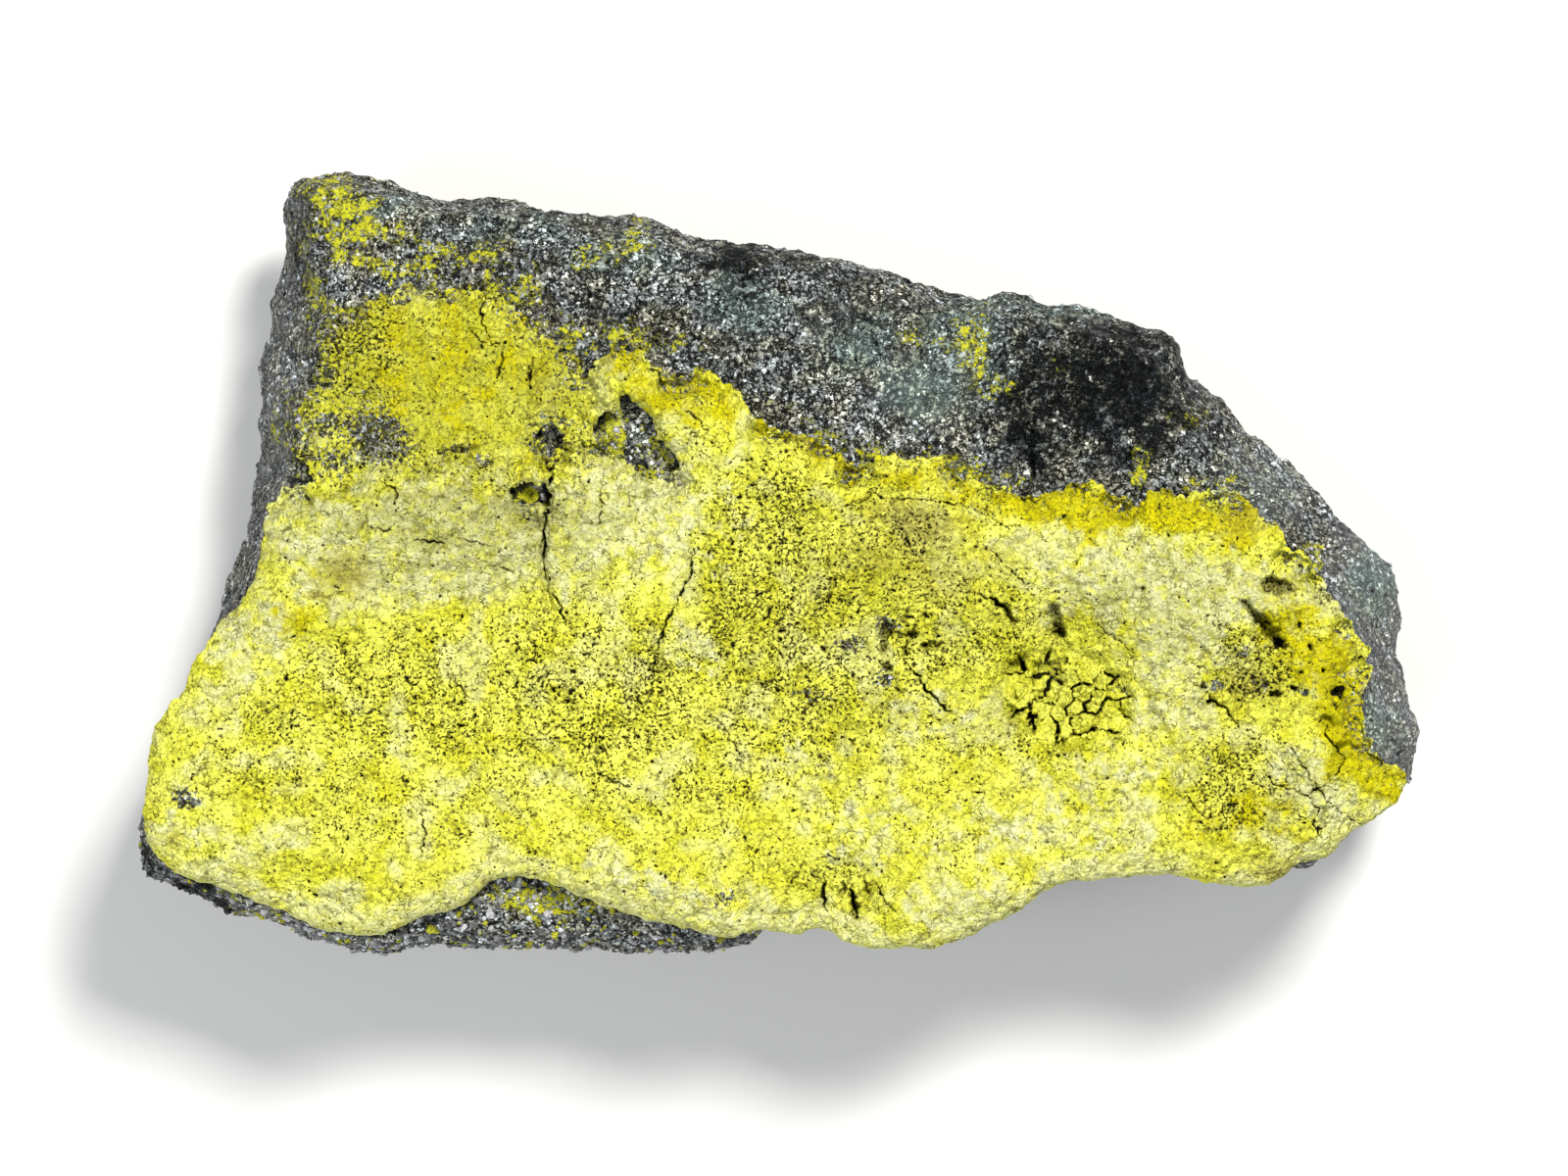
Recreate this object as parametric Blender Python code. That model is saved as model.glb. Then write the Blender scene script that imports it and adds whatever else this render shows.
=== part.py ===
"""Tyuyamunite specimen: a slab of grey quartz sandstone lying on its back, with a powdery
lemon-yellow crust of tyuyamunite over most of its upper face.

Lengths are in millimetres up to the meshes, which are in metres. +X runs along the slab, +Y
across it and +Z up, out of the crusted face. The origin is on the resting face, under the
middle of the slab's bounding box.
"""

import math

import bmesh
import bpy
from mathutils import Vector, noise
from mathutils.geometry import delaunay_2d_cdt

MM = 0.001
SMALL = 1e-6
SLIVER_AREA = 1e-4

# The slab's levels above the surface that it rests on.
FACE_Z = 25.0
CRUST_GAP = 0.3
CRUST_Z = FACE_Z + CRUST_GAP

# Outlines are drawn about a point near the slab's middle. MIDDLE moves them to the origin.
MIDDLE = Vector((-0.53, 2.51))
HUB = Vector((-0.5, 2.5))
BELLY_SPREAD = 1.02

RAYS = 168
FOOT_RISE = (0.0, 0.08, 0.3, 0.55, 0.8)
SHOULDER_RISE = (0.0, 0.3, 0.58, 0.8, 0.94, 1.0)
FACE_STEP = 1.55
COVERED_STEP = 4.5
BASE_STEP = 7.0

CRUST_EDGE_STEP = 1.75
CRUST_STEP = 1.95
WINDOW_STEP = 1.1
LIP_INSET = 0.5
LIP_LEVELS = ((0.35, 0.0), (-0.05, 0.42), (0.12, 0.78))

# The widest outline of the slab, clockwise from its top left corner.
BELLY = (
    (-45.9, 36.5), (-45.0, 37.5), (-43.4, 38.0), (-41.0, 38.3), (-38.5, 37.9), (-36.0, 37.1),
    (-33.3, 36.2), (-30.6, 35.6), (-27.9, 36.0), (-24.8, 35.6), (-21.6, 34.9), (-17.6, 34.1),
    (-14.4, 34.0), (-12.2, 33.8), (-9.5, 32.8), (-4.5, 32.0), (-0.9, 31.2), (1.4, 30.9),
    (4.1, 30.1), (7.2, 29.4), (9.5, 29.2), (11.3, 28.3), (14.0, 27.5), (18.0, 27.0),
    (21.6, 26.8), (24.3, 25.9), (27.0, 26.0), (28.8, 25.3), (30.6, 24.6), (33.3, 24.0),
    (35.6, 23.0), (36.2, 21.8), (36.7, 20.3), (38.9, 18.5), (41.4, 15.8), (45.0, 12.6),
    (48.2, 9.8), (50.0, 7.9), (50.9, 6.1), (53.6, 4.0), (55.6, 2.3), (56.3, 0.3),
    (56.8, -1.8), (56.4, -5.4), (56.6, -8.1), (57.3, -11.0), (58.1, -13.5), (57.7, -16.2),
    (56.8, -18.0), (55.0, -19.3), (52.7, -20.9), (50.0, -22.6), (49.1, -25.3), (46.8, -26.0),
    (41.4, -26.2), (37.4, -25.7), (31.5, -25.6), (27.0, -25.9), (23.4, -26.7), (21.6, -28.6),
    (18.0, -30.4), (14.4, -31.8), (10.8, -32.0), (7.2, -31.8), (4.5, -30.4), (3.2, -29.7),
    (1.4, -30.7), (-1.4, -30.6), (-3.2, -31.8), (-5.0, -32.6), (-6.5, -33.2), (-9.0, -33.0),
    (-13.5, -32.9), (-18.0, -32.9), (-21.6, -32.6), (-25.2, -32.6), (-27.9, -32.8),
    (-31.1, -32.4), (-33.8, -32.6), (-36.9, -33.3), (-39.6, -32.9), (-42.3, -32.2),
    (-45.0, -31.6), (-47.7, -30.2), (-50.9, -29.6), (-53.1, -28.5), (-54.9, -27.5),
    (-57.2, -26.7), (-58.8, -25.6), (-59.3, -23.9), (-58.9, -22.3), (-58.7, -19.8),
    (-57.8, -17.0), (-57.3, -14.0), (-56.3, -12.2), (-54.7, -10.1), (-53.7, -7.2),
    (-52.3, -4.5), (-52.0, -2.3), (-51.8, -0.7), (-50.8, 1.5), (-50.0, 4.1), (-49.7, 6.6),
    (-49.0, 8.3), (-48.8, 10.8), (-48.3, 13.1), (-48.5, 15.0), (-48.2, 16.9), (-48.4, 19.1),
    (-48.2, 21.6), (-47.3, 24.1), (-46.9, 26.6), (-46.4, 28.6), (-46.0, 30.4), (-46.2, 33.5),
)

# The edge where the upper face turns down into the sides.
RIM = (
    (-44.3, 36.2), (-42.8, 37.0), (-40.5, 37.2), (-38.3, 36.8), (-35.8, 35.8), (-33.1, 34.9),
    (-30.4, 34.3), (-27.7, 34.6), (-24.8, 34.2), (-21.4, 33.5), (-17.6, 32.8), (-14.0, 32.6),
    (-10.8, 31.7), (-5.0, 30.4), (-0.9, 29.5), (4.1, 28.3), (9.0, 27.4), (13.5, 25.9),
    (18.0, 25.2), (23.4, 24.3), (27.9, 23.4), (31.5, 22.3), (33.8, 20.5), (35.1, 18.5),
    (37.4, 15.8), (40.5, 12.2), (43.7, 9.0), (45.9, 6.3), (47.7, 3.2), (49.9, 0.0),
    (51.7, -3.6), (53.0, -7.2), (53.9, -10.8), (54.5, -14.0), (54.2, -17.1), (51.8, -19.8),
    (49.1, -21.8), (46.6, -24.1), (43.2, -25.0), (37.4, -24.8), (31.5, -24.7), (26.6, -25.2),
    (22.5, -26.4), (19.8, -28.8), (15.8, -30.4), (10.8, -30.9), (6.8, -30.4), (3.4, -28.8),
    (0.0, -29.7), (-3.2, -30.2), (-5.4, -31.1), (-7.7, -32.0), (-12.6, -31.7), (-18.0, -31.5),
    (-22.9, -31.3), (-27.0, -31.5), (-31.5, -31.3), (-36.0, -32.0), (-40.1, -31.7),
    (-44.1, -30.7), (-47.7, -29.2), (-51.8, -28.2), (-54.9, -26.7), (-57.4, -25.4),
    (-58.1, -23.6), (-57.8, -21.4), (-57.0, -18.0), (-56.3, -14.4), (-53.9, -11.0),
    (-52.5, -7.2), (-50.7, -4.1), (-49.3, -1.1), (-48.5, 1.8), (-48.0, 4.7), (-47.4, 7.2),
    (-46.4, 9.0), (-45.6, 11.7), (-45.2, 14.4), (-44.8, 17.3), (-43.4, 18.6), (-43.3, 21.6),
    (-43.0, 23.2), (-41.9, 24.8), (-41.9, 26.7), (-42.8, 28.6), (-43.4, 31.1), (-43.8, 33.8),
)

# The crust's own edge, clockwise from the left side.
CRUST_EDGE = (
    (-48.4, 0.9), (-48.1, 3.4), (-47.6, 5.4), (-47.1, 7.4), (-46.2, 8.7), (-44.8, 9.2),
    (-43.2, 9.3), (-43.6, 10.4), (-44.7, 12.2), (-44.7, 14.4), (-44.4, 16.9), (-43.2, 18.2),
    (-43.0, 20.3), (-43.0, 22.6), (-42.0, 23.9), (-40.3, 25.0), (-38.5, 26.3), (-36.0, 27.2),
    (-33.3, 27.4), (-30.6, 27.0), (-28.4, 27.7), (-26.8, 27.2), (-25.4, 26.5), (-24.6, 25.0),
    (-23.7, 23.7), (-21.6, 23.2), (-19.9, 22.4), (-19.1, 20.5), (-18.2, 19.0), (-17.2, 20.2),
    (-16.5, 21.6), (-14.9, 22.1), (-13.3, 21.7), (-11.9, 20.6), (-10.9, 19.3), (-9.8, 19.0),
    (-8.7, 19.7), (-7.2, 19.7), (-5.6, 19.1), (-4.3, 18.0), (-3.7, 16.4), (-2.3, 15.7),
    (-1.3, 14.7), (0.0, 14.2), (2.7, 14.1), (4.6, 13.2), (5.4, 11.7), (6.6, 10.8),
    (7.7, 11.2), (8.6, 12.2), (9.8, 12.6), (11.7, 12.1), (14.4, 11.7), (16.2, 10.6),
    (18.0, 9.7), (20.7, 9.0), (23.0, 8.6), (25.0, 8.8), (26.3, 9.7), (27.9, 9.9),
    (29.5, 9.2), (30.8, 8.2), (32.2, 7.7), (33.6, 8.5), (35.4, 9.2), (36.8, 8.7),
    (38.7, 9.0), (41.0, 8.7), (42.3, 7.9), (43.1, 6.8), (44.3, 6.0), (45.2, 5.1),
    (46.4, 3.6), (47.9, 2.5), (49.1, 1.2), (49.9, -0.5), (50.9, -2.0), (52.0, -3.6),
    (52.9, -5.2), (53.7, -6.8), (53.8, -8.3), (53.0, -9.6), (52.8, -11.0), (53.3, -13.1),
    (53.9, -14.9), (55.0, -15.7), (56.2, -15.8), (57.2, -16.8), (56.9, -18.3), (56.2, -19.8),
    (54.7, -20.9), (53.0, -21.8), (51.8, -22.5), (50.9, -23.7), (49.8, -24.9), (48.3, -24.9),
    (47.1, -24.8), (46.1, -26.0), (44.8, -27.2), (42.8, -27.5), (40.5, -27.2), (37.8, -26.9),
    (36.2, -26.3), (32.4, -26.4), (28.8, -26.8), (25.4, -27.2), (23.7, -27.7), (22.6, -28.8),
    (21.0, -29.9), (18.9, -30.7), (17.4, -31.8), (15.3, -32.6), (13.4, -33.2), (11.4, -33.1),
    (10.1, -32.8), (8.7, -33.2), (6.8, -33.0), (5.3, -32.4), (4.2, -31.4), (3.2, -30.9),
    (2.2, -31.5), (1.1, -32.0), (-0.2, -31.7), (-1.2, -31.2), (-2.5, -31.4), (-4.3, -31.8),
    (-5.8, -32.4), (-7.2, -31.7), (-9.5, -31.1), (-12.2, -30.5), (-14.4, -29.8),
    (-17.1, -29.0), (-18.9, -28.2), (-20.6, -27.2), (-23.0, -26.7), (-25.7, -26.3),
    (-27.1, -26.8), (-28.1, -28.1), (-29.4, -29.2), (-31.5, -29.8), (-33.5, -30.1),
    (-34.8, -31.0), (-36.4, -31.7), (-38.7, -31.9), (-41.9, -31.6), (-43.5, -30.9),
    (-45.1, -29.9), (-47.3, -29.3), (-49.1, -28.5), (-51.1, -27.6), (-53.6, -27.0),
    (-55.2, -26.5), (-56.5, -25.5), (-57.8, -24.2), (-58.6, -22.8), (-58.7, -21.4),
    (-58.5, -19.4), (-58.5, -17.5), (-58.2, -15.3), (-57.8, -13.1), (-57.1, -11.5),
    (-55.9, -10.3), (-54.9, -9.0), (-54.4, -7.6), (-53.9, -6.1), (-52.9, -4.9), (-52.0, -3.7),
    (-50.9, -2.5), (-49.7, -1.3),
)

# Holes that go through the crust to the rock.
WINDOWS = {
    "long": ((-14.9, 17.3), (-16.7, 15.4), (-17.2, 13.4), (-15.4, 12.2), (-13.3, 10.6),
             (-10.4, 10.2), (-9.8, 11.5), (-11.4, 14.1), (-13.1, 16.6)),
    "small": ((-22.2, 14.1), (-20.3, 14.5), (-19.9, 12.9), (-20.6, 11.7), (-22.0, 12.2)),
    "slot": ((-25.1, 9.6), (-22.6, 9.5), (-21.5, 9.4), (-21.5, 7.5), (-23.3, 7.4), (-24.6, 8.1)),
    "notch": ((50.1, -8.7), (51.3, -8.9), (51.2, -10.9), (50.3, -11.2), (49.9, -9.9)),
}

# Share of the belly's radius that the resting face reaches, by azimuth in degrees.
FOOT_SHARE = (
    (0, 0.87), (32, 0.80), (60, 0.88), (95, 0.83), (128, 0.90), (160, 0.84), (190, 0.90),
    (218, 0.86), (250, 0.78), (285, 0.86), (318, 0.80), (345, 0.88),
)
# Height of the belly, and how squarely the shoulder stands above it, by azimuth.
BELLY_HEIGHT = (
    (0, 12.0), (40, 13.0), (75, 16.5), (120, 16.0), (145, 13.0), (180, 9.5), (210, 14.0),
    (240, 17.5), (280, 17.0), (320, 14.0),
)
SHOULDER_POWER = (
    (0, 1.75), (40, 1.6), (80, 1.5), (125, 1.4), (160, 1.15), (200, 1.2), (240, 1.5),
    (285, 1.3), (325, 1.4),
)
# Flat fractures on the lower sides: a point that each passes through, its heading, the angle
# that it leans in by towards the foot, both in degrees, and its half-length.
FRACTURES = (
    (-31.0, 34.0, 84, 16, 16), (4.0, 28.6, 76, 26, 18), (24.0, 24.4, 84, 12, 9),
    (40.5, 14.2, 47, 28, 14), (54.0, -4.0, 8, 32, 10), (54.0, -17.5, -30, 20, 6),
    (47.5, -23.5, -58, 30, 7), (33.0, -24.6, -92, 24, 11), (14.0, -30.4, -76, 14, 8),
    (-2.0, -29.8, -96, 30, 8), (-24.0, -31.4, -88, 20, 15), (-46.0, -29.0, -112, 34, 10),
    (-56.0, -23.5, -142, 18, 5), (-56.0, -14.0, 170, 30, 7), (-52.0, -5.0, 151, 14, 6),
    (-48.5, 8.0, 172, 26, 9), (-46.5, 26.0, 177, 12, 11),
)
FRACTURE_HEIGHT = 7.0

# Swells and hollows of the bare rock: x, y, half-length, half-width, turn, rise.
ROCK_FORMS = (
    (29.5, 17.5, 8.5, 5.5, 10, -1.5), (23.2, 12.4, 1.3, 3.6, -8, -1.2),
    (-3.5, 30.0, 5.0, 2.2, -12, -0.9), (-39.7, 28.4, 2.2, 2.8, 0, 0.6),
    (-15.0, 29.0, 7.0, 3.0, -8, 0.6), (5.0, 17.5, 8.0, 3.5, -15, 0.7),
    (35.0, 13.2, 5.0, 2.6, -25, 0.7), (14.5, 21.5, 7.5, 4.0, 0, 0.6),
    (-27.0, 31.5, 6.0, 2.2, 0, -0.7), (46.0, 7.5, 3.2, 2.2, -45, 0.5),
    (-32.5, 32.5, 3.0, 2.0, 0, 0.6), (9.5, 27.0, 4.5, 2.0, -15, -0.7),
    (-24.0, -29.5, 6.0, 1.6, 0, 0.5), (-12.5, -31.0, 5.0, 1.0, 0, -0.3),
)

# Swells and hollows of the crust, in the same terms.
CRUST_FORMS = (
    (-27.0, 4.6, 17.0, 4.2, -4, 1.0), (36.0, -1.0, 13.0, 4.5, -12, 1.2),
    (15.5, -28.6, 8.5, 3.4, 12, 0.9), (-11.5, -27.6, 7.5, 2.2, -12, 0.7),
    (-52.5, -20.5, 5.5, 6.5, 15, 0.9), (46.5, -19.0, 5.5, 4.0, 35, 0.9),
    (-44.0, -6.5, 7.0, 6.0, 40, 0.7), (5.5, 3.0, 9.0, 6.0, -35, 0.8),
    (39.0, -24.0, 6.0, 2.6, 0, 0.6), (-36.0, -24.5, 10.0, 4.5, 5, 0.5),
    (27.5, 7.4, 11.0, 2.0, -3, 0.5), (50.5, -13.5, 2.6, 6.0, 8, 0.6),
    (14.5, -5.0, 3.0, 5.5, 25, -1.2), (10.5, -3.5, 3.0, 2.4, 0, -0.9),
    (25.0, -4.8, 1.6, 3.2, 18, -1.6), (24.3, -7.7, 1.5, 1.1, 0, -1.2),
    (22.9, -12.0, 0.9, 2.4, 4, -1.5), (27.5, -9.5, 6.5, 5.5, 0, -0.7),
    (44.7, -3.9, 1.0, 2.9, 40, -1.7), (45.3, 0.2, 1.8, 1.1, -10, -1.1),
    (42.5, -9.0, 2.6, 1.8, 0, -0.7), (32.0, -13.5, 3.0, 7.0, 30, -0.6),
    (-4.0, -12.5, 10.0, 4.0, -30, -0.5), (-30.0, -10.5, 12.0, 7.5, 0, -0.4),
    (-35.0, 0.4, 9.0, 1.5, 4, -0.5), (-16.0, -20.5, 6.0, 3.0, 20, -0.4),
    (7.5, -27.5, 1.2, 3.4, 14, -0.8), (-55.0, -19.0, 1.3, 1.3, 0, -0.5),
    (8.5, 7.5, 8.0, 1.2, -8, -0.5), (-6.0, 13.0, 4.0, 5.5, 50, 0.5),
)

# Open cracks in the crust: half-width, depth, then the points that they run through.
CRACKS = (
    (0.30, 1.6, ((-21.4, 5.9), (-21.8, 4.2), (-22.0, 2.2), (-21.4, -0.9), (-20.5, -3.6))),
    (0.22, 0.9, ((7.4, 8.1), (9.6, 9.0), (12.8, 8.5), (16.2, 7.6))),
    (0.35, 1.2, ((31.5, -7.4), (33.6, -11.0), (35.6, -14.6), (37.8, -17.2))),
    (0.28, 1.0, ((8.4, -26.6), (7.4, -28.6), (7.2, -30.6))),
    (0.22, 0.8, ((3.8, -24.8), (4.0, -27.4), (3.8, -29.2))),
    (0.30, 1.0, ((50.3, -12.9), (50.6, -14.4), (51.6, -15.9))),
    (0.25, 0.9, ((45.4, -15.2), (47.2, -17.6), (49.0, -18.8))),
)

# Broken blocks of crust left standing in the hollow: middle, half-size, turn, sides, rise.
BLOCKS = (
    ((21.6, -9.3), 1.25, 12, 3, 1.3), ((23.4, -9.9), 0.8, 50, 4, 1.0),
    ((25.4, -10.2), 0.95, 20, 5, 1.2), ((27.6, -9.6), 1.0, 75, 4, 1.1),
    ((29.8, -10.0), 0.9, 10, 5, 1.1), ((26.6, -12.3), 1.05, 30, 4, 1.3),
    ((28.9, -12.2), 0.95, 5, 5, 1.1), ((25.2, -13.9), 0.8, 60, 4, 0.9),
    ((27.6, -14.2), 0.9, 25, 4, 1.0), ((30.6, -13.2), 0.75, 45, 4, 0.8),
    ((29.6, -7.7), 0.8, 15, 4, 0.8), ((21.0, -6.9), 0.9, 35, 5, 0.8),
)
BLOCK_SLOPE = 0.28

CRUST_THICKNESS = 3.0
THIN_PATCH_THICKNESS = 1.35
PATCH_EDGE = ((-47.5, 8.9), (-38.0, 9.6), (-30.0, 8.6), (-25.0, 9.8), (-19.0, 15.5), (-17.9, 19.5))
PATCH_RAMP = 2.2


def mix(a, b, share):
    return a + (b - a) * share


def smoothstep(low, high, value):
    share = min(max((value - low) / (high - low), 0.0), 1.0)
    return share * share * (3.0 - 2.0 * share)


def by_azimuth(table, azimuth):
    """Value at an azimuth in degrees, from a table that closes on itself."""
    azimuth %= 360.0
    angles = [row[0] for row in table] + [table[0][0] + 360.0]
    values = [row[1] for row in table] + [table[0][1]]
    if azimuth < angles[0]:
        azimuth += 360.0
    for index in range(len(table)):
        if angles[index] <= azimuth <= angles[index + 1]:
            share = smoothstep(angles[index], angles[index + 1], azimuth)
            return mix(values[index], values[index + 1], share)
    return values[0]


def curve_through(points, closed, samples=8):
    """Dense points of a Catmull-Rom curve through the given ones."""
    count = len(points)
    dense = []
    for index in range(count if closed else count - 1):
        near = []
        for step in (-1, 0, 1, 2):
            place = index + step
            place = place % count if closed else min(max(place, 0), count - 1)
            near.append(Vector(points[place]))
        before, start, end, after = near
        for sample in range(samples):
            t = sample / samples
            slope = (end - before) * t
            bend = (before * 2.0 - start * 5.0 + end * 4.0 - after) * t * t
            twist = (start * 3.0 - end * 3.0 + after - before) * t ** 3
            dense.append(start + (slope + bend + twist) * 0.5)
    if not closed:
        dense.append(Vector(points[-1]))
    return dense


def evenly(points, step, closed=True):
    """The same line, sampled at even steps along its length."""
    line = list(points) + ([points[0]] if closed else [])
    lengths = [(b - a).length for a, b in zip(line, line[1:])]
    total = sum(lengths)
    count = max(int(round(total / step)), 3 if closed else 1)
    even = []
    index = 0
    walked = 0.0
    for place in range(count if closed else count + 1):
        target = total * place / count
        while index < len(lengths) - 1 and walked + lengths[index] < target:
            walked += lengths[index]
            index += 1
        share = min((target - walked) / max(lengths[index], SMALL), 1.0)
        even.append(line[index].lerp(line[index + 1], share))
    return even


def is_inside(loop, x, y):
    within = False
    last = loop[-1]
    for point in loop:
        if (point.y > y) != (last.y > y):
            cross = point.x + (last.x - point.x) * (y - point.y) / (last.y - point.y)
            if x < cross:
                within = not within
        last = point
    return within


def distance_to(line, x, y, closed=True):
    best = 1e9
    last = line[-1] if closed else line[0]
    for point in line:
        run = point - last
        length = max(run.length_squared, SMALL)
        share = min(max(((x - last.x) * run.x + (y - last.y) * run.y) / length, 0.0), 1.0)
        dx = x - last.x - run.x * share
        dy = y - last.y - run.y * share
        best = min(best, dx * dx + dy * dy)
        last = point
    return math.sqrt(best)


def depth_inside(loop, x, y):
    """Distance to a loop, positive inside it."""
    distance = distance_to(loop, x, y)
    return distance if is_inside(loop, x, y) else -distance


def form_at(forms, x, y):
    """Height that a list of rounded swells and hollows adds at a point."""
    height = 0.0
    for cx, cy, long, wide, turn, rise in forms:
        angle = math.radians(turn)
        dx = x - cx
        dy = y - cy
        u = (dx * math.cos(angle) + dy * math.sin(angle)) / long
        v = (dy * math.cos(angle) - dx * math.sin(angle)) / wide
        height += rise * math.exp(-1.4 * (u * u + v * v) ** 1.3)
    return height


def lumps(x, y, z, size, seed):
    """Smooth noise between about -1 and 1, with lumps of one size."""
    return noise.noise(Vector((x / size + seed, y / size - seed, z / size + 0.37 * seed)))


def scattered(loop, step, seed, keep_clear, holes=()):
    """Jittered points of a triangular grid that lie inside a loop."""
    lows = [min(point[axis] for point in loop) for axis in (0, 1)]
    highs = [max(point[axis] for point in loop) for axis in (0, 1)]
    row_height = step * math.sqrt(0.75)
    points = []
    for row in range(int((highs[1] - lows[1]) / row_height) + 1):
        for column in range(int((highs[0] - lows[0]) / step) + 1):
            x = lows[0] + (column + 0.5 * (row % 2)) * step
            y = lows[1] + row * row_height
            x += 0.3 * step * noise.noise(Vector((column * 1.7, row * 2.3, seed)))
            y += 0.3 * step * noise.noise(Vector((column * 2.1, row * 1.3, seed + 5.0)))
            clear = depth_inside(loop, x, y) > keep_clear
            if clear and all(depth_inside(hole, x, y) < -keep_clear for hole in holes):
                points.append(Vector((x, y)))
    return points


def triangulated(loops, lines, points):
    """Triangles in plan, inside the first loop and outside the others.

    Returns the points in plan and the triangles. The loops' points come first, in order.
    """
    places = []
    edges = []
    for loop in loops:
        start = len(places)
        places.extend(loop)
        edges.extend((start + i, start + (i + 1) % len(loop)) for i in range(len(loop)))
    for line in lines:
        start = len(places)
        places.extend(line)
        edges.extend((start + i, start + i + 1) for i in range(len(line) - 1))
    places.extend(points)
    flat, _, faces, origins, _, _ = delaunay_2d_cdt(places, edges, [], 0, 1e-5)
    order = {}
    plan = list(places)
    for index, sources in enumerate(origins):
        if sources:
            order[index] = sources[0]
        else:
            order[index] = len(plan)
            plan.append(flat[index])
    triangles = []
    for face in faces:
        corners = [order[index] for index in face]
        a, b, c = (plan[corner] for corner in corners)
        middle = (a + b + c) / 3.0
        sliver = abs((b - a).cross(c - a)) < SLIVER_AREA
        if sliver or not is_inside(loops[0], middle.x, middle.y):
            continue
        if any(is_inside(hole, middle.x, middle.y) for hole in loops[1:]):
            continue
        triangles.append(corners)
    return plan, triangles


def offset_loop(loop, inset, outward_is_left):
    """A loop moved sideways, less where another part of it is near."""
    count = len(loop)
    moved = []
    for index, point in enumerate(loop):
        run = loop[(index + 1) % count] - loop[index - 1]
        side = Vector((-run.y, run.x)).normalized()
        if outward_is_left:
            side = -side
        room = inset
        for other in range(count):
            apart = min((other - index) % count, (index - other) % count)
            if apart > 3:
                room = min(room, 0.3 * (loop[other] - point).length, key=abs)
        moved.append(point + side * (room if inset >= 0 else inset))
    return moved


def turned_anticlockwise(loop):
    area = sum(a.x * b.y - b.x * a.y for a, b in zip(loop, loop[1:] + loop[:1]))
    return loop if area > 0 else loop[::-1]


def outline(points, step):
    return turned_anticlockwise(evenly(curve_through(points, True), step))


def radii_of(points):
    """Radius of an outline about HUB along each of the evenly spaced rays."""
    loop = curve_through(points, True)
    radii = []
    for ray in range(RAYS):
        angle = 2.0 * math.pi * ray / RAYS
        direction = Vector((math.cos(angle), math.sin(angle)))
        reach = 0.0
        last = loop[-1] - HUB
        for point in loop:
            here = point - HUB
            low = last.x * direction.y - last.y * direction.x
            high = here.x * direction.y - here.y * direction.x
            if (low > 0) != (high > 0):
                crossing = last.lerp(here, low / (low - high))
                reach = max(reach, crossing.dot(direction))
            last = here
        radii.append(reach)
    return radii


def rock_height(crust_edge, windows, x, y):
    """Height of the slab's upper face: flat under the crust, weathered where it is bare."""
    bare = -depth_inside(crust_edge, x, y)
    for window in windows:
        bare = max(bare, depth_inside(window, x, y))
    if bare <= 0.0:
        return FACE_Z
    share = smoothstep(0.0, 2.4, bare)
    relief = form_at(ROCK_FORMS, x, y)
    relief += 0.75 * lumps(x, y, 0.0, 6.5, 3.1)
    relief += 0.55 * lumps(x, y, 0.0, 2.6, 8.7)
    relief -= 0.35
    return FACE_Z + share * relief


def cut_back(point):
    """A point of the lower side, moved in to each flat fracture that it stands proud of."""
    x, y, height = point
    for fx, fy, heading, lean, half_length in FRACTURES:
        normal = Vector((math.cos(math.radians(heading)), math.sin(math.radians(heading))))
        ray = Vector((x, y)) - HUB
        facing = ray.normalized().dot(normal)
        offset = Vector((x - fx, y - fy))
        along = abs(offset.x * normal.y - offset.y * normal.x)
        excess = offset.dot(normal) - math.tan(math.radians(lean)) * (height - FRACTURE_HEIGHT)
        excess *= 1.0 - smoothstep(0.8, 1.3, along / half_length)
        if excess > 0.0 and facing > 0.4:
            ray *= 1.0 - excess / facing / ray.length
            x, y = HUB + ray
    return Vector((x, y, height))


def side_rings(rim_heights):
    """Rings of the slab's side, from the resting face up to the rim."""
    belly_radii = [radius * BELLY_SPREAD for radius in radii_of(BELLY)]
    rim_radii = radii_of(RIM)
    rings = []
    for rise in FOOT_RISE:
        ring = []
        for ray in range(RAYS):
            azimuth = 360.0 * ray / RAYS
            foot = belly_radii[ray] * by_azimuth(FOOT_SHARE, azimuth)
            radius = mix(foot, belly_radii[ray], 1.0 - (1.0 - rise) ** 1.8)
            height = rise * by_azimuth(BELLY_HEIGHT, azimuth)
            roughness = 1.0 if rise else 0.4
            ring.append(cut_back(side_point(azimuth, radius, height, roughness)))
        rings.append(ring)
    for rise in SHOULDER_RISE:
        ring = []
        for ray in range(RAYS):
            azimuth = 360.0 * ray / RAYS
            power = by_azimuth(SHOULDER_POWER, azimuth)
            radius = mix(belly_radii[ray], rim_radii[ray], rise ** power)
            height = mix(by_azimuth(BELLY_HEIGHT, azimuth), rim_heights[ray], rise)
            roughness = 0.55 * math.sin(math.pi * rise)
            ring.append(side_point(azimuth, radius, height, roughness))
        rings.append(ring)
    return rings


def side_point(azimuth, radius, height, roughness):
    """A point of the side, moved in or out by lumps and thin bedding ledges."""
    angle = math.radians(azimuth)
    x = HUB.x + radius * math.cos(angle)
    y = HUB.y + radius * math.sin(angle)
    shift = 1.7 * lumps(x, y, height, 9.0, 1.9)
    shift += 1.0 * lumps(x, y, height, 3.6, 6.3)
    ledge = math.sin(height * 1.35 + 2.0 * lumps(x, y, 0.0, 15.0, 4.4))
    shift += 0.7 * ledge
    shift *= roughness
    return Vector((x + shift * math.cos(angle), y + shift * math.sin(angle), height))


def add_vert(bm, x, y, z):
    return bm.verts.new(((x - MIDDLE.x) * MM, (y - MIDDLE.y) * MM, z * MM))


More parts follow.
